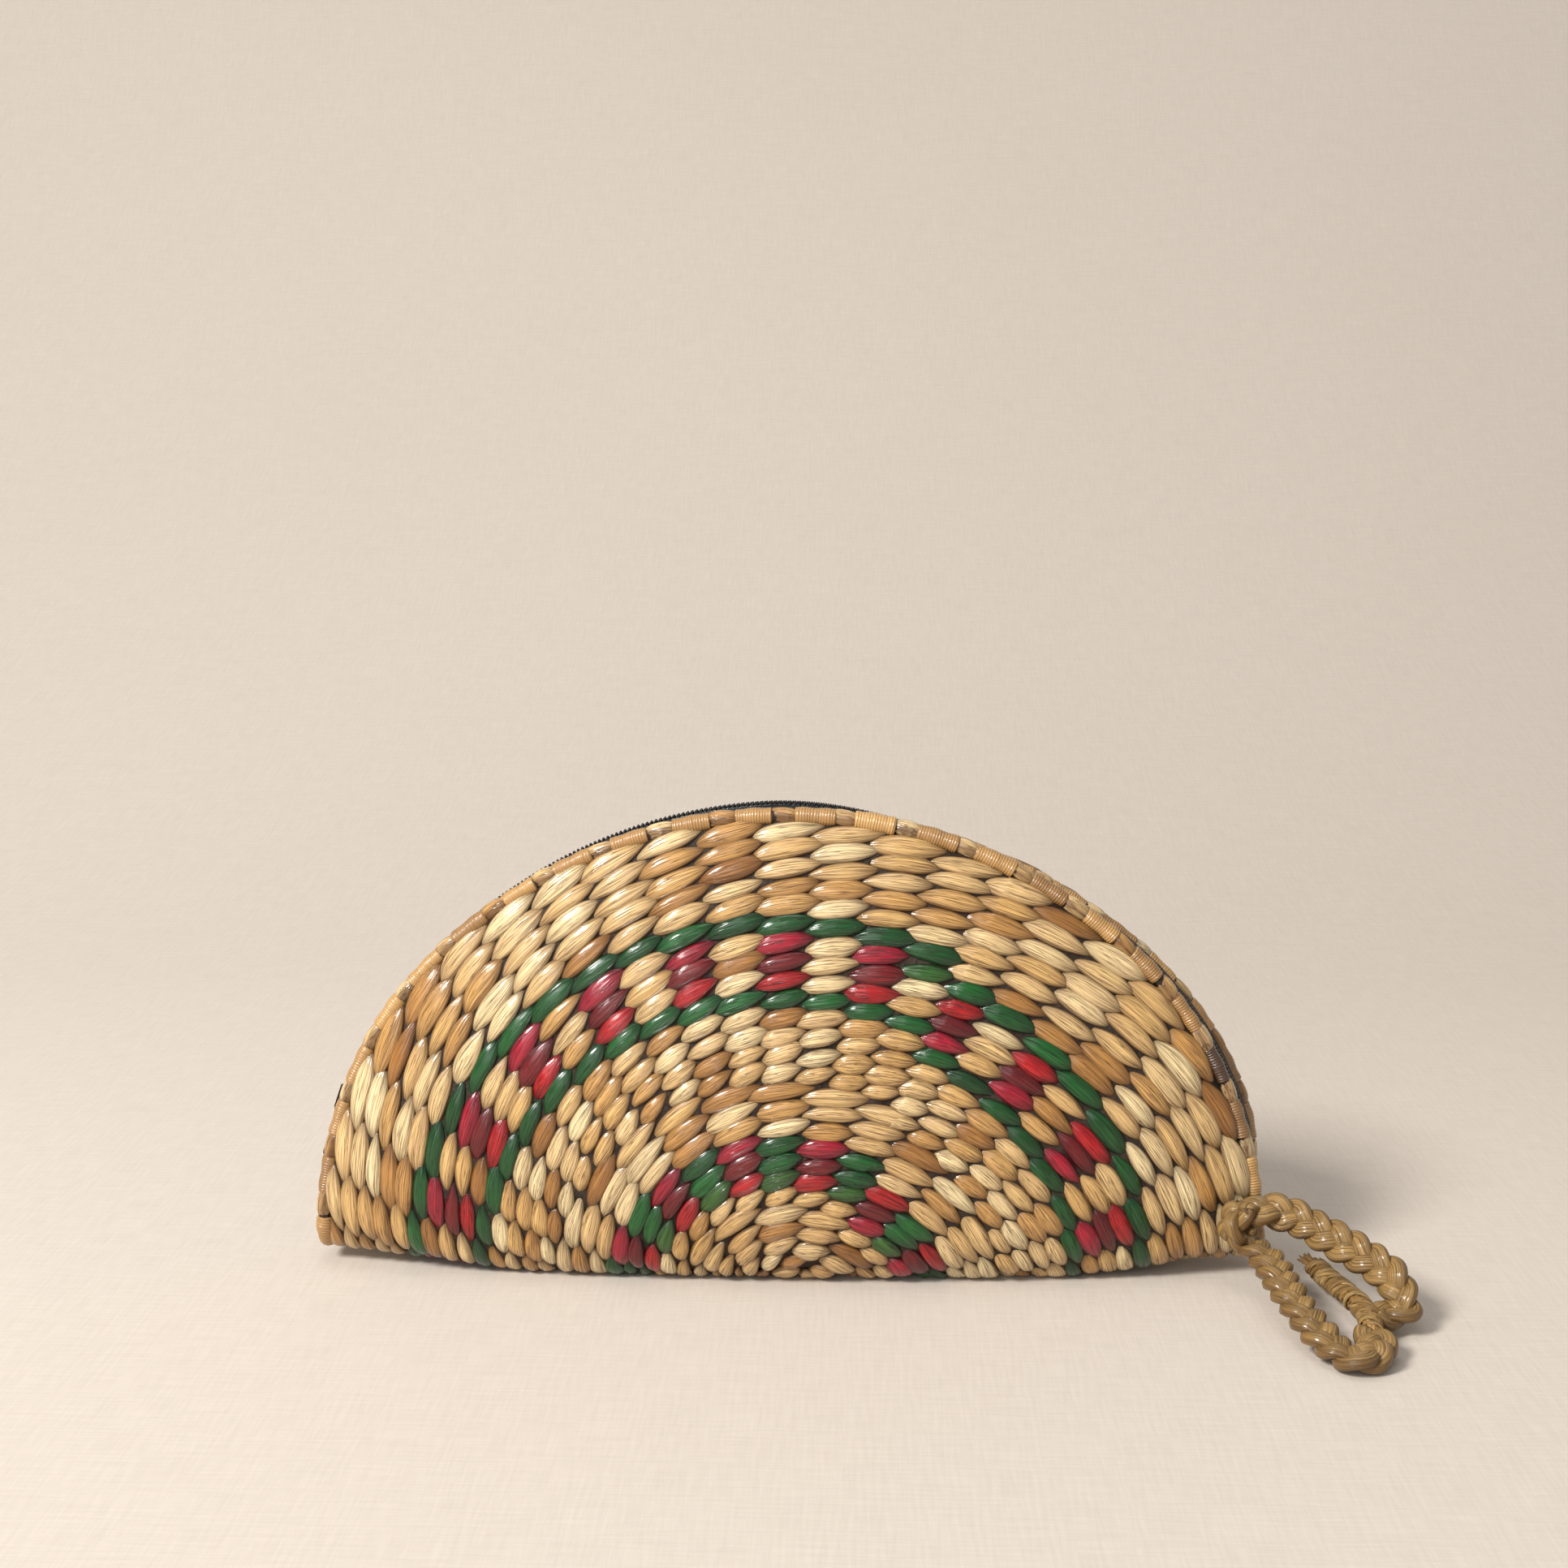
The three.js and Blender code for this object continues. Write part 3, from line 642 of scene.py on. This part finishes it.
def braid(line, wide, places):
    """Three flat bundles of stalk, plaited flat: each swings from edge to edge over its fellows."""
    along = tangents(line)
    thin = np.cross(along, wide)
    rings, tones = [], []
    turn = round_turn(STRAND_AROUND)
    flat_side = np.sign(np.sin(turn)) * np.abs(np.sin(turn)) ** 0.75
    flat_edge = np.sign(np.cos(turn)) * np.abs(np.cos(turn)) ** 0.8
    for strand in range(3):
        phase = 2 * np.pi * (places / BRAID_PITCH + strand / 3)
        wander = 0.15 * np.sin(places / 7.3 + strand * 2.1)
        swing = np.sin(phase) - 0.06 * np.sin(3 * phase)
        centre = (line + wide * ((BRAID_WIDTH / 2 - STRAND_WIDE + 0.2) * swing + wander)[:, None]
                  + thin * ((BRAID_THICKNESS / 2 - STRAND_THICK) * np.sin(2 * phase))[:, None])
        forward = tangents(centre)
        up = square_to(thin, forward)
        across = np.cross(forward, up)
        swell = 1 + 0.06 * np.sin(places / 2.9 + strand)
        ribs = 1 + 0.035 * np.cos(7 * turn + strand)[None]
        rings.append(centre[:, None]
                     + across[:, None] * (STRAND_WIDE * swell[:, None] * flat_edge * ribs)[..., None]
                     + up[:, None] * (STRAND_THICK * swell[:, None] * flat_side * ribs)[..., None])
        tones.append((chance.uniform(0.2, 0.8), chance.uniform()))
    marks = strand_marks(len(line), STRAND_AROUND, (0, places[-1] / GRAIN_REPEAT))
    made = loft("wrist_strap_braid", np.array(rings), marks[None], tones)
    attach(made, "root")
    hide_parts("wrist_strap")
    return made


BINDING_RADIUS, BINDING_AROUND = 2.75, 24
WOUND_FIBRES, LOOSE_FIBRES = 90, 26
FIBRE_STEPS, FIBRE_AROUND, FIBRE_FLAT = 34, 6, 2.4


def binding_pieces(line):
    """The joined ends, wound over with shredded stalk, whose last fibres stick out of the end."""
    path, length = resample(line, step=0.5)
    up = np.broadcast_to([0.0, 0, 1], path.shape)
    places = np.linspace(0, length, len(path))
    turn = round_turn(BINDING_AROUND)
    rough = (0.22 * np.sin(9 * turn[None] + places[:, None] / 2.1)
             + 0.18 * np.sin(5 * turn[None] - places[:, None] / 1.3 + 1))
    closing = np.clip(np.minimum(places + 1.2, length - places + 0.8) / 2.2, 0.25, 1) ** 0.5
    core = tube_rings(path, (BINDING_RADIUS + rough) * closing[:, None], BINDING_AROUND, up)
    body = loft("strap_binding_core", core[None],
                strand_marks(len(path), BINDING_AROUND, (0, 3))[None], [(0.5, 0.2)])
    forward = tangents(path)
    side = unit(np.cross(forward, up))
    top = np.cross(side, forward)
    rings, tones = [], []
    onward = np.linspace(0, 1, FIBRE_STEPS)
    for _ in range(WOUND_FIBRES):
        start, turns = chance.uniform(-1, length - 8), chance.uniform(0.15, 1.3)
        at = start + chance.uniform(4, 12) * onward
        swing = chance.uniform(0, 6.28) + 2 * np.pi * turns * onward
        spread = BINDING_RADIUS + chance.uniform(-0.1, 0.4)
        thickness = chance.uniform(0.2, 0.42)
        rings.append(fibre(path, side, top, places, at, swing, spread, thickness))
        tones.append((chance.uniform(), chance.uniform()))
    for _ in range(LOOSE_FIBRES):
        at = length + np.linspace(-3, chance.uniform(2, 7), FIBRE_STEPS)
        swing = chance.uniform(0, 6.28) + 0.6 * onward * chance.uniform(-1, 1)
        spread = np.linspace(chance.uniform(0.4, 2.4), chance.uniform(0.4, 3.4), FIBRE_STEPS)
        thickness = chance.uniform(0.14, 0.3)
        rings.append(fibre(path, side, top, places, at, swing, spread, thickness))
        tones.append((chance.uniform(), chance.uniform()))
    rings = np.array(rings)
    rings[..., 2] = np.maximum(rings[..., 2], 0.15)
    marks = strand_marks(FIBRE_STEPS, FIBRE_AROUND)[None]
    wound = loft("strap_binding_fibres", rings, marks, tones)
    for piece in (body, wound):
        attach(piece, "root")
        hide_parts("strap_binding")
    return body, wound


def fibre(path, side, top, places, at, swing, spread, thickness):
    """One flat fibre wound round a line, or running on past its end."""
    inside = np.clip(at, 0, places[-1])
    middle, sideways, upright = [at_places(inside, places, v) for v in (path, side, top)]
    beyond = (at - inside)[:, None] * unit(path[-1] - path[-3])
    radial = sideways * np.cos(swing)[:, None] + upright * np.sin(swing)[:, None]
    line = middle + beyond + radial * np.broadcast_to(spread, swing.shape)[:, None]
    taper = 1 - np.abs(np.linspace(-0.96, 0.96, len(at))) ** 3
    return tube_rings(line, thickness * taper[:, None], FIBRE_AROUND, radial, wide=FIBRE_FLAT)


TIE_STEPS, TIE_AROUND = 60, 12


def strap_tie():
    """The strand that ties the braid's curl to the mat, wound on itself and closed at both ends."""
    ends = np.array([TIE_FOOT - TIE_AXIS * 1.2, EYE + TIE_AXIS * (BRAID_WIDTH / 2 + 0.2)])
    path, _ = resample(ends, count=TIE_STEPS)
    places = np.linspace(0, 12, TIE_STEPS)
    turn = round_turn(TIE_AROUND)
    radius = 1.2 + 0.25 * np.abs(np.sin(places[:, None] * 2.2 - turn[None] * 0.5))
    radius = radius * (1 - np.linspace(-1, 1, TIE_STEPS)[:, None] ** 24 * 0.6)
    up = np.broadcast_to([0.0, 0, 1], path.shape)
    made = loft("strap_tie_strand", tube_rings(path, radius, TIE_AROUND, up)[None],
                strand_marks(TIE_STEPS, TIE_AROUND)[None], [(0.1, 0.7)])
    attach(made, "root")
    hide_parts("strap_tie")
    return made


# Materials

def linear(hex_colour):
    """An sRGB hex colour as linear values for a node."""
    parts = [int(hex_colour[i:i + 2], 16) / 255 for i in (1, 3, 5)]
    parts = [p / 12.92 if p <= 0.04045 else ((p + 0.055) / 1.055) ** 2.4 for p in parts]
    return (*parts, 1.0)


def new_material(name):
    material = bpy.data.materials.new(name)
    material.use_nodes = True
    material.node_tree.nodes.clear()
    return material, material.node_tree


def add(tree, kind, inputs=(), **settings):
    """Adds a node with its settings. Each input is a value or another node's output."""
    node = tree.nodes.new("ShaderNode" + kind)
    for key, value in settings.items():
        setattr(node, key, value)
    for key, value in dict(inputs).items():
        if isinstance(value, bpy.types.NodeSocket):
            tree.links.new(value, node.inputs[key])
        else:
            node.inputs[key].default_value = value
    return node


def maths(tree, operation, a, b=0.0):
    return add(tree, "Math", {0: a, 1: b}, operation=operation).outputs[0]


def shades(tree, factor, stops):
    """A colour or a value looked up along named stops of (place, colour)."""
    node = add(tree, "ValToRGB", {"Fac": factor})
    ramp = node.color_ramp
    while len(ramp.elements) < len(stops):
        ramp.elements.new(0.5)
    for element, (place, colour) in zip(ramp.elements, stops):
        element.position = place
        element.color = linear(colour)
    return node.outputs["Color"]


def blend(tree, factor, a, b, how="MIX"):
    node = add(tree, "Mix", data_type="RGBA", blend_type=how)
    for key, value in ((0, factor), (6, a), (7, b)):
        if isinstance(value, bpy.types.NodeSocket):
            tree.links.new(value, node.inputs[key])
        else:
            node.inputs[key].default_value = value
    return node.outputs[2]


def finish_surface(tree, surface, height, depth, strength=1.0, varnish=None):
    """Ends a material. Varnish fills the finest grain, so it can have a relief of its own."""
    for socket, relief in (("Normal", height), ("Coat Normal", varnish or height)):
        bump = add(tree, "Bump", {"Height": relief, "Strength": strength, "Distance": depth})
        tree.links.new(bump.outputs["Normal"], surface.inputs[socket])
    add(tree, "OutputMaterial", {"Surface": surface.outputs[0]})


# Steps of the stalk's pattern over the length and the width of a strand. A stitch is 5.7 mm wide,
# which makes a fibre 0.2 mm, a dark line's spacing 0.5 mm and a pale band 1.1 mm. A real fibre is
# about half as wide, too fine to show, so it is drawn this coarse.
FIBRES, LINES, BANDS = (1.8, 26.0), (0.9, 12.0), (1.3, 5.0)


def stalk(name, tones, fibre_dark, tip, varnish, tip_depth=0.75, roughness=0.42, bleach=0.4):
    """Dried water hyacinth stalk: long parallel fibres with dark lines between them, darker at its
    tips and edges, partly real stain and partly painted shade where it tucks under its neighbours,
    under a brushed varnish that breaks the highlight into streaks."""
    material, tree = new_material(name)
    along = add(tree, "UVMap", uv_map="Along").outputs[0]
    tone = add(tree, "UVMap", uv_map="Tone").outputs[0]
    place = add(tree, "SeparateXYZ", {0: along})
    shade = add(tree, "SeparateXYZ", {0: tone})
    u, v, seed = place.outputs[0], place.outputs[1], maths(tree, "MULTIPLY", shade.outputs[1], 37.0)
    colour = shades(tree, shade.outputs[0], tones)

    def streaks(steps, offset, detail):
        at = add(tree, "CombineXYZ", {0: maths(tree, "MULTIPLY", u, steps[0]),
                                      1: maths(tree, "MULTIPLY", v, steps[1]),
                                      2: maths(tree, "ADD", seed, offset)})
        return add(tree, "TexNoise", {"Vector": at.outputs[0], "Scale": 1.0, "Detail": detail,
                                      "Roughness": 0.6}).outputs["Fac"]

    def from_middle(place_across):
        doubled = maths(tree, "MULTIPLY", place_across, 2.0)
        return maths(tree, "ABSOLUTE", maths(tree, "SUBTRACT", doubled, 1.0))

    broad, fine = streaks(BANDS, 0.0, 2.0), streaks(FIBRES, 9.0, 3.0)
    ridge = maths(tree, "ABSOLUTE", maths(tree, "SUBTRACT", streaks(LINES, 4.0, 2.0), 0.5))
    lines = add(tree, "MapRange", {"Value": ridge, "From Min": 0.0, "From Max": 0.035}).outputs[0]
    pale = add(tree, "MapRange", {"Value": broad, "From Min": 0.40, "From Max": 0.68}).outputs[0]
    bleached = maths(tree, "MULTIPLY", pale, bleach)
    colour = blend(tree, bleached, colour, linear("#FFF3D2"), "SOFT_LIGHT")
    grain = add(tree, "MapRange", {"Value": fine, "From Min": 0.56, "From Max": 0.36}).outputs[0]
    colour = blend(tree, maths(tree, "MULTIPLY", grain, 0.55), colour, linear(fibre_dark))
    dark = maths(tree, "SUBTRACT", 1.0, lines)
    colour = blend(tree, maths(tree, "MULTIPLY", dark, 0.88), colour, linear(fibre_dark))
    # Darker towards the tips: partly real stain, partly painted shade where each tip tucks under its
    # neighbour
    ends = maths(tree, "POWER", from_middle(u), 2.6)
    uneven = maths(tree, "MULTIPLY", ends, maths(tree, "ADD", broad, 0.35))
    colour = blend(tree, maths(tree, "MULTIPLY", uneven, tip_depth), colour, linear(tip))
    # Darker along the strand's edges, in the tip colour: partly real stain, partly painted shade where
    # the strand turns down into the gap
    edge_stain_and_shade = maths(tree, "MULTIPLY", maths(tree, "POWER", from_middle(v), 3.6), 0.85)
    colour = blend(tree, edge_stain_and_shade, colour, linear(tip))
    surface = add(tree, "BsdfPrincipled", {
        "Base Color": colour, "IOR": 1.5, "Coat IOR": 1.5, "Coat Roughness": 0.17,
        "Coat Weight": varnish, "Specular IOR Level": 0.15,
        "Roughness": maths(tree, "ADD", maths(tree, "MULTIPLY", fine, 0.2), roughness - 0.1)})
    varnished = maths(tree, "ADD", maths(tree, "MULTIPLY", lines, 0.25),
                      maths(tree, "MULTIPLY", broad, 0.9))
    height = maths(tree, "ADD", varnished, maths(tree, "MULTIPLY", fine, 0.8))
    finish_surface(tree, surface, height, 0.0003, 1.0, varnished)
    return material


def wound_rim():
    """Split stalk wound tightly round the rim, so its fine grain runs round and not along. The
    grain is a quarter of a millimetre, 46 steps to a winding 12 mm long."""
    material, tree = new_material("wound_stalk")
    along = add(tree, "SeparateXYZ", {0: add(tree, "UVMap", uv_map="Along").outputs[0]})
    tone = add(tree, "SeparateXYZ", {0: add(tree, "UVMap", uv_map="Tone").outputs[0]})
    seed = maths(tree, "MULTIPLY", tone.outputs[1], 31.0)
    at = add(tree, "CombineXYZ", {0: maths(tree, "MULTIPLY", along.outputs[0], 46.0),
                                  1: maths(tree, "MULTIPLY", along.outputs[1], 2.0), 2: seed})
    grain = add(tree, "TexNoise", {"Vector": at.outputs[0], "Scale": 1.0, "Detail": 4.0}).outputs["Fac"]
    colour = shades(tree, tone.outputs[0], [(0, "#4A2F17"), (0.08, "#7C5C33"), (0.3, "#946F3E"),
                                            (0.7, "#AE874F"), (1, "#C29D62")])
    colour = blend(tree, maths(tree, "MULTIPLY", grain, 0.6), colour, linear("#5A3E14"), "SOFT_LIGHT")
    dark = add(tree, "MapRange", {"Value": grain, "From Min": 0.45, "From Max": 0.3}).outputs[0]
    colour = blend(tree, maths(tree, "MULTIPLY", dark, 0.6), colour, linear("#3A2310"))
    surface = add(tree, "BsdfPrincipled", {
        "Base Color": colour, "IOR": 1.5, "Roughness": 0.45, "Coat Weight": 0.8,
        "Coat Roughness": 0.14, "Coat IOR": 1.5})
    finish_surface(tree, surface, grain, 0.0003, 0.6)
    return material


def shadowed_core():
    """The inner wall, seen only as a dark gap between two stitches, painted near-black as shade,
    though its stalk is pale. Its grain is about 1 mm.
    """
    material, tree = new_material("shadowed_core")
    place = add(tree, "TexCoord").outputs["Object"]
    grain = add(tree, "TexNoise", {"Vector": place, "Scale": 900.0, "Detail": 3.0}).outputs["Fac"]
    colour = shades(tree, grain, [(0.3, "#0E0804"), (0.7, "#33200E")])
    surface = add(tree, "BsdfPrincipled", {"Base Color": colour, "Roughness": 0.7, "IOR": 1.45})
    finish_surface(tree, surface, grain, 0.0004)
    return material


def zip_nylon(name, dark, light, roughness, threads_per_metre):
    """Black nylon: a fine even weave in the tape, with threads 0.4 mm apart, and smooth thread in
    the coil. Both are close to black, with a soft sheen."""
    material, tree = new_material(name)
    place = add(tree, "TexCoord").outputs["Object"]
    threads = add(tree, "TexVoronoi", {"Vector": place, "Scale": threads_per_metre})
    weave_at = threads.outputs["Distance"]
    colour = shades(tree, weave_at, [(0.0, light), (0.8, dark)])
    surface = add(tree, "BsdfPrincipled",
                  {"Base Color": colour, "Roughness": roughness, "IOR": 1.53})
    finish_surface(tree, surface, weave_at, 0.0002, 0.5)
    return material


def slider_metal():
    """A cast zinc slider under black paint, worn thin in patches some 4 mm across, so it shines in
    places only."""
    material, tree = new_material("slider_metal")
    place = add(tree, "TexCoord").outputs["Object"]
    wear = add(tree, "TexNoise", {"Vector": place, "Scale": 260.0, "Detail": 4.0}).outputs["Fac"]
    colour = shades(tree, wear, [(0.45, "#1A1A1D"), (0.75, "#3A3A3E")])
    surface = add(tree, "BsdfPrincipled", {"Base Color": colour, "Metallic": 0.8, "Roughness": 0.36})
    finish_surface(tree, surface, wear, 0.00005, 0.4)
    return material


def sweep_cloth():
    """A matt warm cloth, finely woven and faintly uneven in tone. Its threads are drawn 1.1 mm wide,
    coarser than the real ones, so that they show."""
    material, tree = new_material("cloth_sweep")
    place = add(tree, "TexCoord").outputs["Object"]
    uneven = add(tree, "TexNoise", {"Vector": place, "Scale": 2.2, "Detail": 2.0}).outputs["Fac"]
    squeezed = [add(tree, "Mapping", {"Vector": place, "Scale": size}).outputs[0]
                for size in ((60, 900, 900), (900, 60, 60))]
    warp, weft = [add(tree, "TexNoise", {"Vector": v, "Scale": 1.0, "Detail": 2.0}).outputs["Fac"]
                  for v in squeezed]
    threads = maths(tree, "MULTIPLY", maths(tree, "ADD", warp, weft), 0.5)
    colour = shades(tree, threads, [(0.3, "#BFB6AC"), (0.7, "#CAC1B7")])
    colour = blend(tree, maths(tree, "MULTIPLY", uneven, 0.16), colour, linear("#B6A896"))
    surface = add(tree, "BsdfPrincipled", {"Base Color": colour, "Roughness": 0.85, "IOR": 1.45})
    finish_surface(tree, surface, threads, 0.0002, 0.4)
    return material


def dress(piece, material):
    """Gives a piece its material."""
    piece.data.materials.clear()
    piece.data.materials.append(material)


# The bag

# In each stalk, tip is the colour of its darker tips and edges: partly real stain, partly painted shade
# Natural stalk, from brown to bleached straw
NATURAL = stalk("natural_stalk",
                [(0, "#8F5E2B"), (0.12, "#BC8B4F"), (0.35, "#D0A569"), (0.7, "#E0BC87"), (1, "#F0D8A8")],
                fibre_dark="#4E2E10", tip="#4E2D10", varnish=1.0, tip_depth=1.0)
# Dyed stalk: the green turns olive and the red turns dark where the dye took less or more
GREEN = stalk("green_stalk",
              [(0, "#02300F"), (0.4, "#064F1A"), (0.6, "#0A6023"), (0.8, "#35521B"), (1, "#465E20")],
              fibre_dark="#000E04", tip="#011206", varnish=1.0, tip_depth=0.85, roughness=0.4,
              bleach=0.5)
RED = stalk("red_stalk",
            [(0, "#8E0828"), (0.2, "#A00C2A"), (0.5, "#AC0710"), (0.75, "#94040C"), (1, "#48030B")],
            fibre_dark="#260206", tip="#2C0308", varnish=1.0, tip_depth=0.85, roughness=0.4,
            bleach=0.5)
# Plaited stalk, less varnished and of one even brown
BRAIDED = stalk("braided_stalk", [(0, "#7E623A"), (1, "#A08050")],
                fibre_dark="#33220F", tip="#5A4022", varnish=0.55, tip_depth=0.0, roughness=0.45)
# Shredded stalk, hardly varnished, so that it is matt and hairy
WOUND = stalk("shredded_stalk", [(0, "#8A6A3A"), (0.5, "#B08A55"), (1, "#CDAE76")],
              fibre_dark="#4E3517", tip="#7A5A30", varnish=0.35, tip_depth=0.3, roughness=0.55)


def build_bag():
    stitches = lay_stitches()
    natural = [s for s in stitches if s["dye"] == "natural"]
    for name, kept, material in (
            ("weave_natural_front", [s for s in natural if not s["back"]], NATURAL),
            ("weave_natural_back", [s for s in natural if s["back"]], NATURAL),
            ("weave_green", [s for s in stitches if s["dye"] == "green"], GREEN),
            ("weave_red", [s for s in stitches if s["dye"] == "red"], RED)):
        dress(weave(name, kept), material)
    # The wall behind the stitches and the rim's core share this near-black: painted shade in the gaps
    # between stitches and between the rim's wraps
    painted_gap_shade = shadowed_core()
    dress(mat_core(), painted_gap_shade)
    rim = rim_pieces()
    dress(rim["rim_core"], painted_gap_shade)
    dress(rim["rim_wraps"], wound_rim())
    dress(rim["rim_knots"], NATURAL)
    coil, cord = zip_coil()
    coil_nylon = zip_nylon("coil_nylon", "#0A0A0C", "#16161A", 0.32, 1800.0)
    dress(coil, coil_nylon)
    dress(cord, coil_nylon)
    tape = zip_nylon("tape_nylon", "#0C0C0E", "#1E1E22", 0.62, 2600.0)
    for node in ("zip_tape_front", "zip_tape_back"):
        dress(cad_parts[node], tape)
    dress(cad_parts["zip_slider"], slider_metal())
    line, wide, places, binding = strap_line()
    dress(braid(line, wide, places), BRAIDED)
    body, wound = binding_pieces(binding)
    dress(body, WOUND)
    dress(wound, WOUND)
    dress(strap_tie(), BRAIDED)


# Floor, light and camera

# In metres: where the cloth ends in front, where its bend starts and how round that is, how high
# it goes, and half its width
SWEEP_FRONT, SWEEP_START, SWEEP_BEND, SWEEP_TOP, SWEEP_HALF = -2.0, 0.35, 1.5, 3.4, 3.0


def cloth_sweep():
    """A cloth floor that curves up into a backdrop behind the bag."""
    depths = [(SWEEP_FRONT, 0.0), (SWEEP_START, 0.0)]
    depths += [(SWEEP_START + SWEEP_BEND * math.sin(a), SWEEP_BEND - SWEEP_BEND * math.cos(a))
               for a in np.radians(range(3, 91, 3))]
    depths += [(SWEEP_START + SWEEP_BEND, SWEEP_TOP)]
    corners = [(x, y, z) for x in (-SWEEP_HALF, SWEEP_HALF) for y, z in depths]
    count = len(depths)
    faces = [(i, count + i, count + i + 1, i + 1) for i in range(count - 1)]
    mesh = bpy.data.meshes.new("cloth_sweep")
    mesh.from_pydata(corners, [], faces)
    for polygon in mesh.polygons:
        polygon.use_smooth = True
    sweep = bpy.data.objects.new("cloth_sweep", mesh)
    bpy.context.scene.collection.objects.link(sweep)
    mesh.materials.append(sweep_cloth())


def soft_light(name, place, target, size, power, colour):
    """A rectangular light in metres and watts, turned to its target."""
    lamp = bpy.data.lights.new(name, "AREA")
    lamp.shape, lamp.size, lamp.size_y = "RECTANGLE", size[0], size[1]
    lamp.energy, lamp.color = power, linear(colour)[:3]
    light = bpy.data.objects.new(name, lamp)
    light.location = place
    light.rotation_euler = (Vector(target) - Vector(place)).to_track_quat("-Z", "Y").to_euler()
    bpy.context.scene.collection.objects.link(light)


def studio():
    """A soft key from the upper left, which throws the shadow to the right, and a faint top light, a
    wide frontal fill and a pale room."""
    soft_light("key_light", place=(-1.3, -1.25, 1.5), target=(0, 0, 0.06), size=(0.6, 0.6),
               power=73.0, colour="#FFFCF8")
    soft_light("top_light", place=(-0.1, -0.1, 1.3), target=(0, 0, 0.05), size=(0.8, 0.5),
               power=3.0, colour="#FFFFFF")
    sun = bpy.data.lights.new("room_light", "SUN")
    sun.energy, sun.angle, sun.color = 0.8, math.radians(40), linear("#FFFFFF")[:3]
    light = bpy.data.objects.new("room_light", sun)
    light.rotation_euler = Vector((0.3, 0.88, -0.36)).to_track_quat("-Z", "Y").to_euler()
    bpy.context.scene.collection.objects.link(light)
    world = bpy.data.worlds.new("studio")
    world.use_nodes = True
    room = world.node_tree.nodes["Background"].inputs
    room["Color"].default_value, room["Strength"].default_value = linear("#FBF8F4"), 0.4
    bpy.context.scene.world = world
    bpy.context.scene.view_settings.view_transform = "Standard"


CAMERA_PLACE = (19.506, -622.99, 241.19)
CAMERA_YAW, CAMERA_PITCH = math.radians(-1.876), math.radians(8.85)


def camera():
    """The photo's own view: from the front, a little from above and right of the middle."""
    forward = Vector((math.sin(CAMERA_YAW) * math.cos(CAMERA_PITCH),
                      math.cos(CAMERA_YAW) * math.cos(CAMERA_PITCH), -math.sin(CAMERA_PITCH)))
    right = Vector((math.cos(CAMERA_YAW), -math.sin(CAMERA_YAW), 0))
    up = right.cross(forward)
    lens = bpy.data.cameras.new("photo_camera")
    lens.lens, lens.sensor_width = 50, 36
    lens.dof.use_dof = False
    lens.clip_start, lens.clip_end = 0.02, 20
    made = bpy.data.objects.new("photo_camera", lens)
    turn = Matrix((right, up, -forward)).transposed().to_4x4()
    made.matrix_world = Matrix.Translation(Vector(CAMERA_PLACE) * MM) @ turn
    bpy.context.scene.collection.objects.link(made)
    bpy.context.scene.camera = made


build_bag()
cloth_sweep()
studio()
camera()
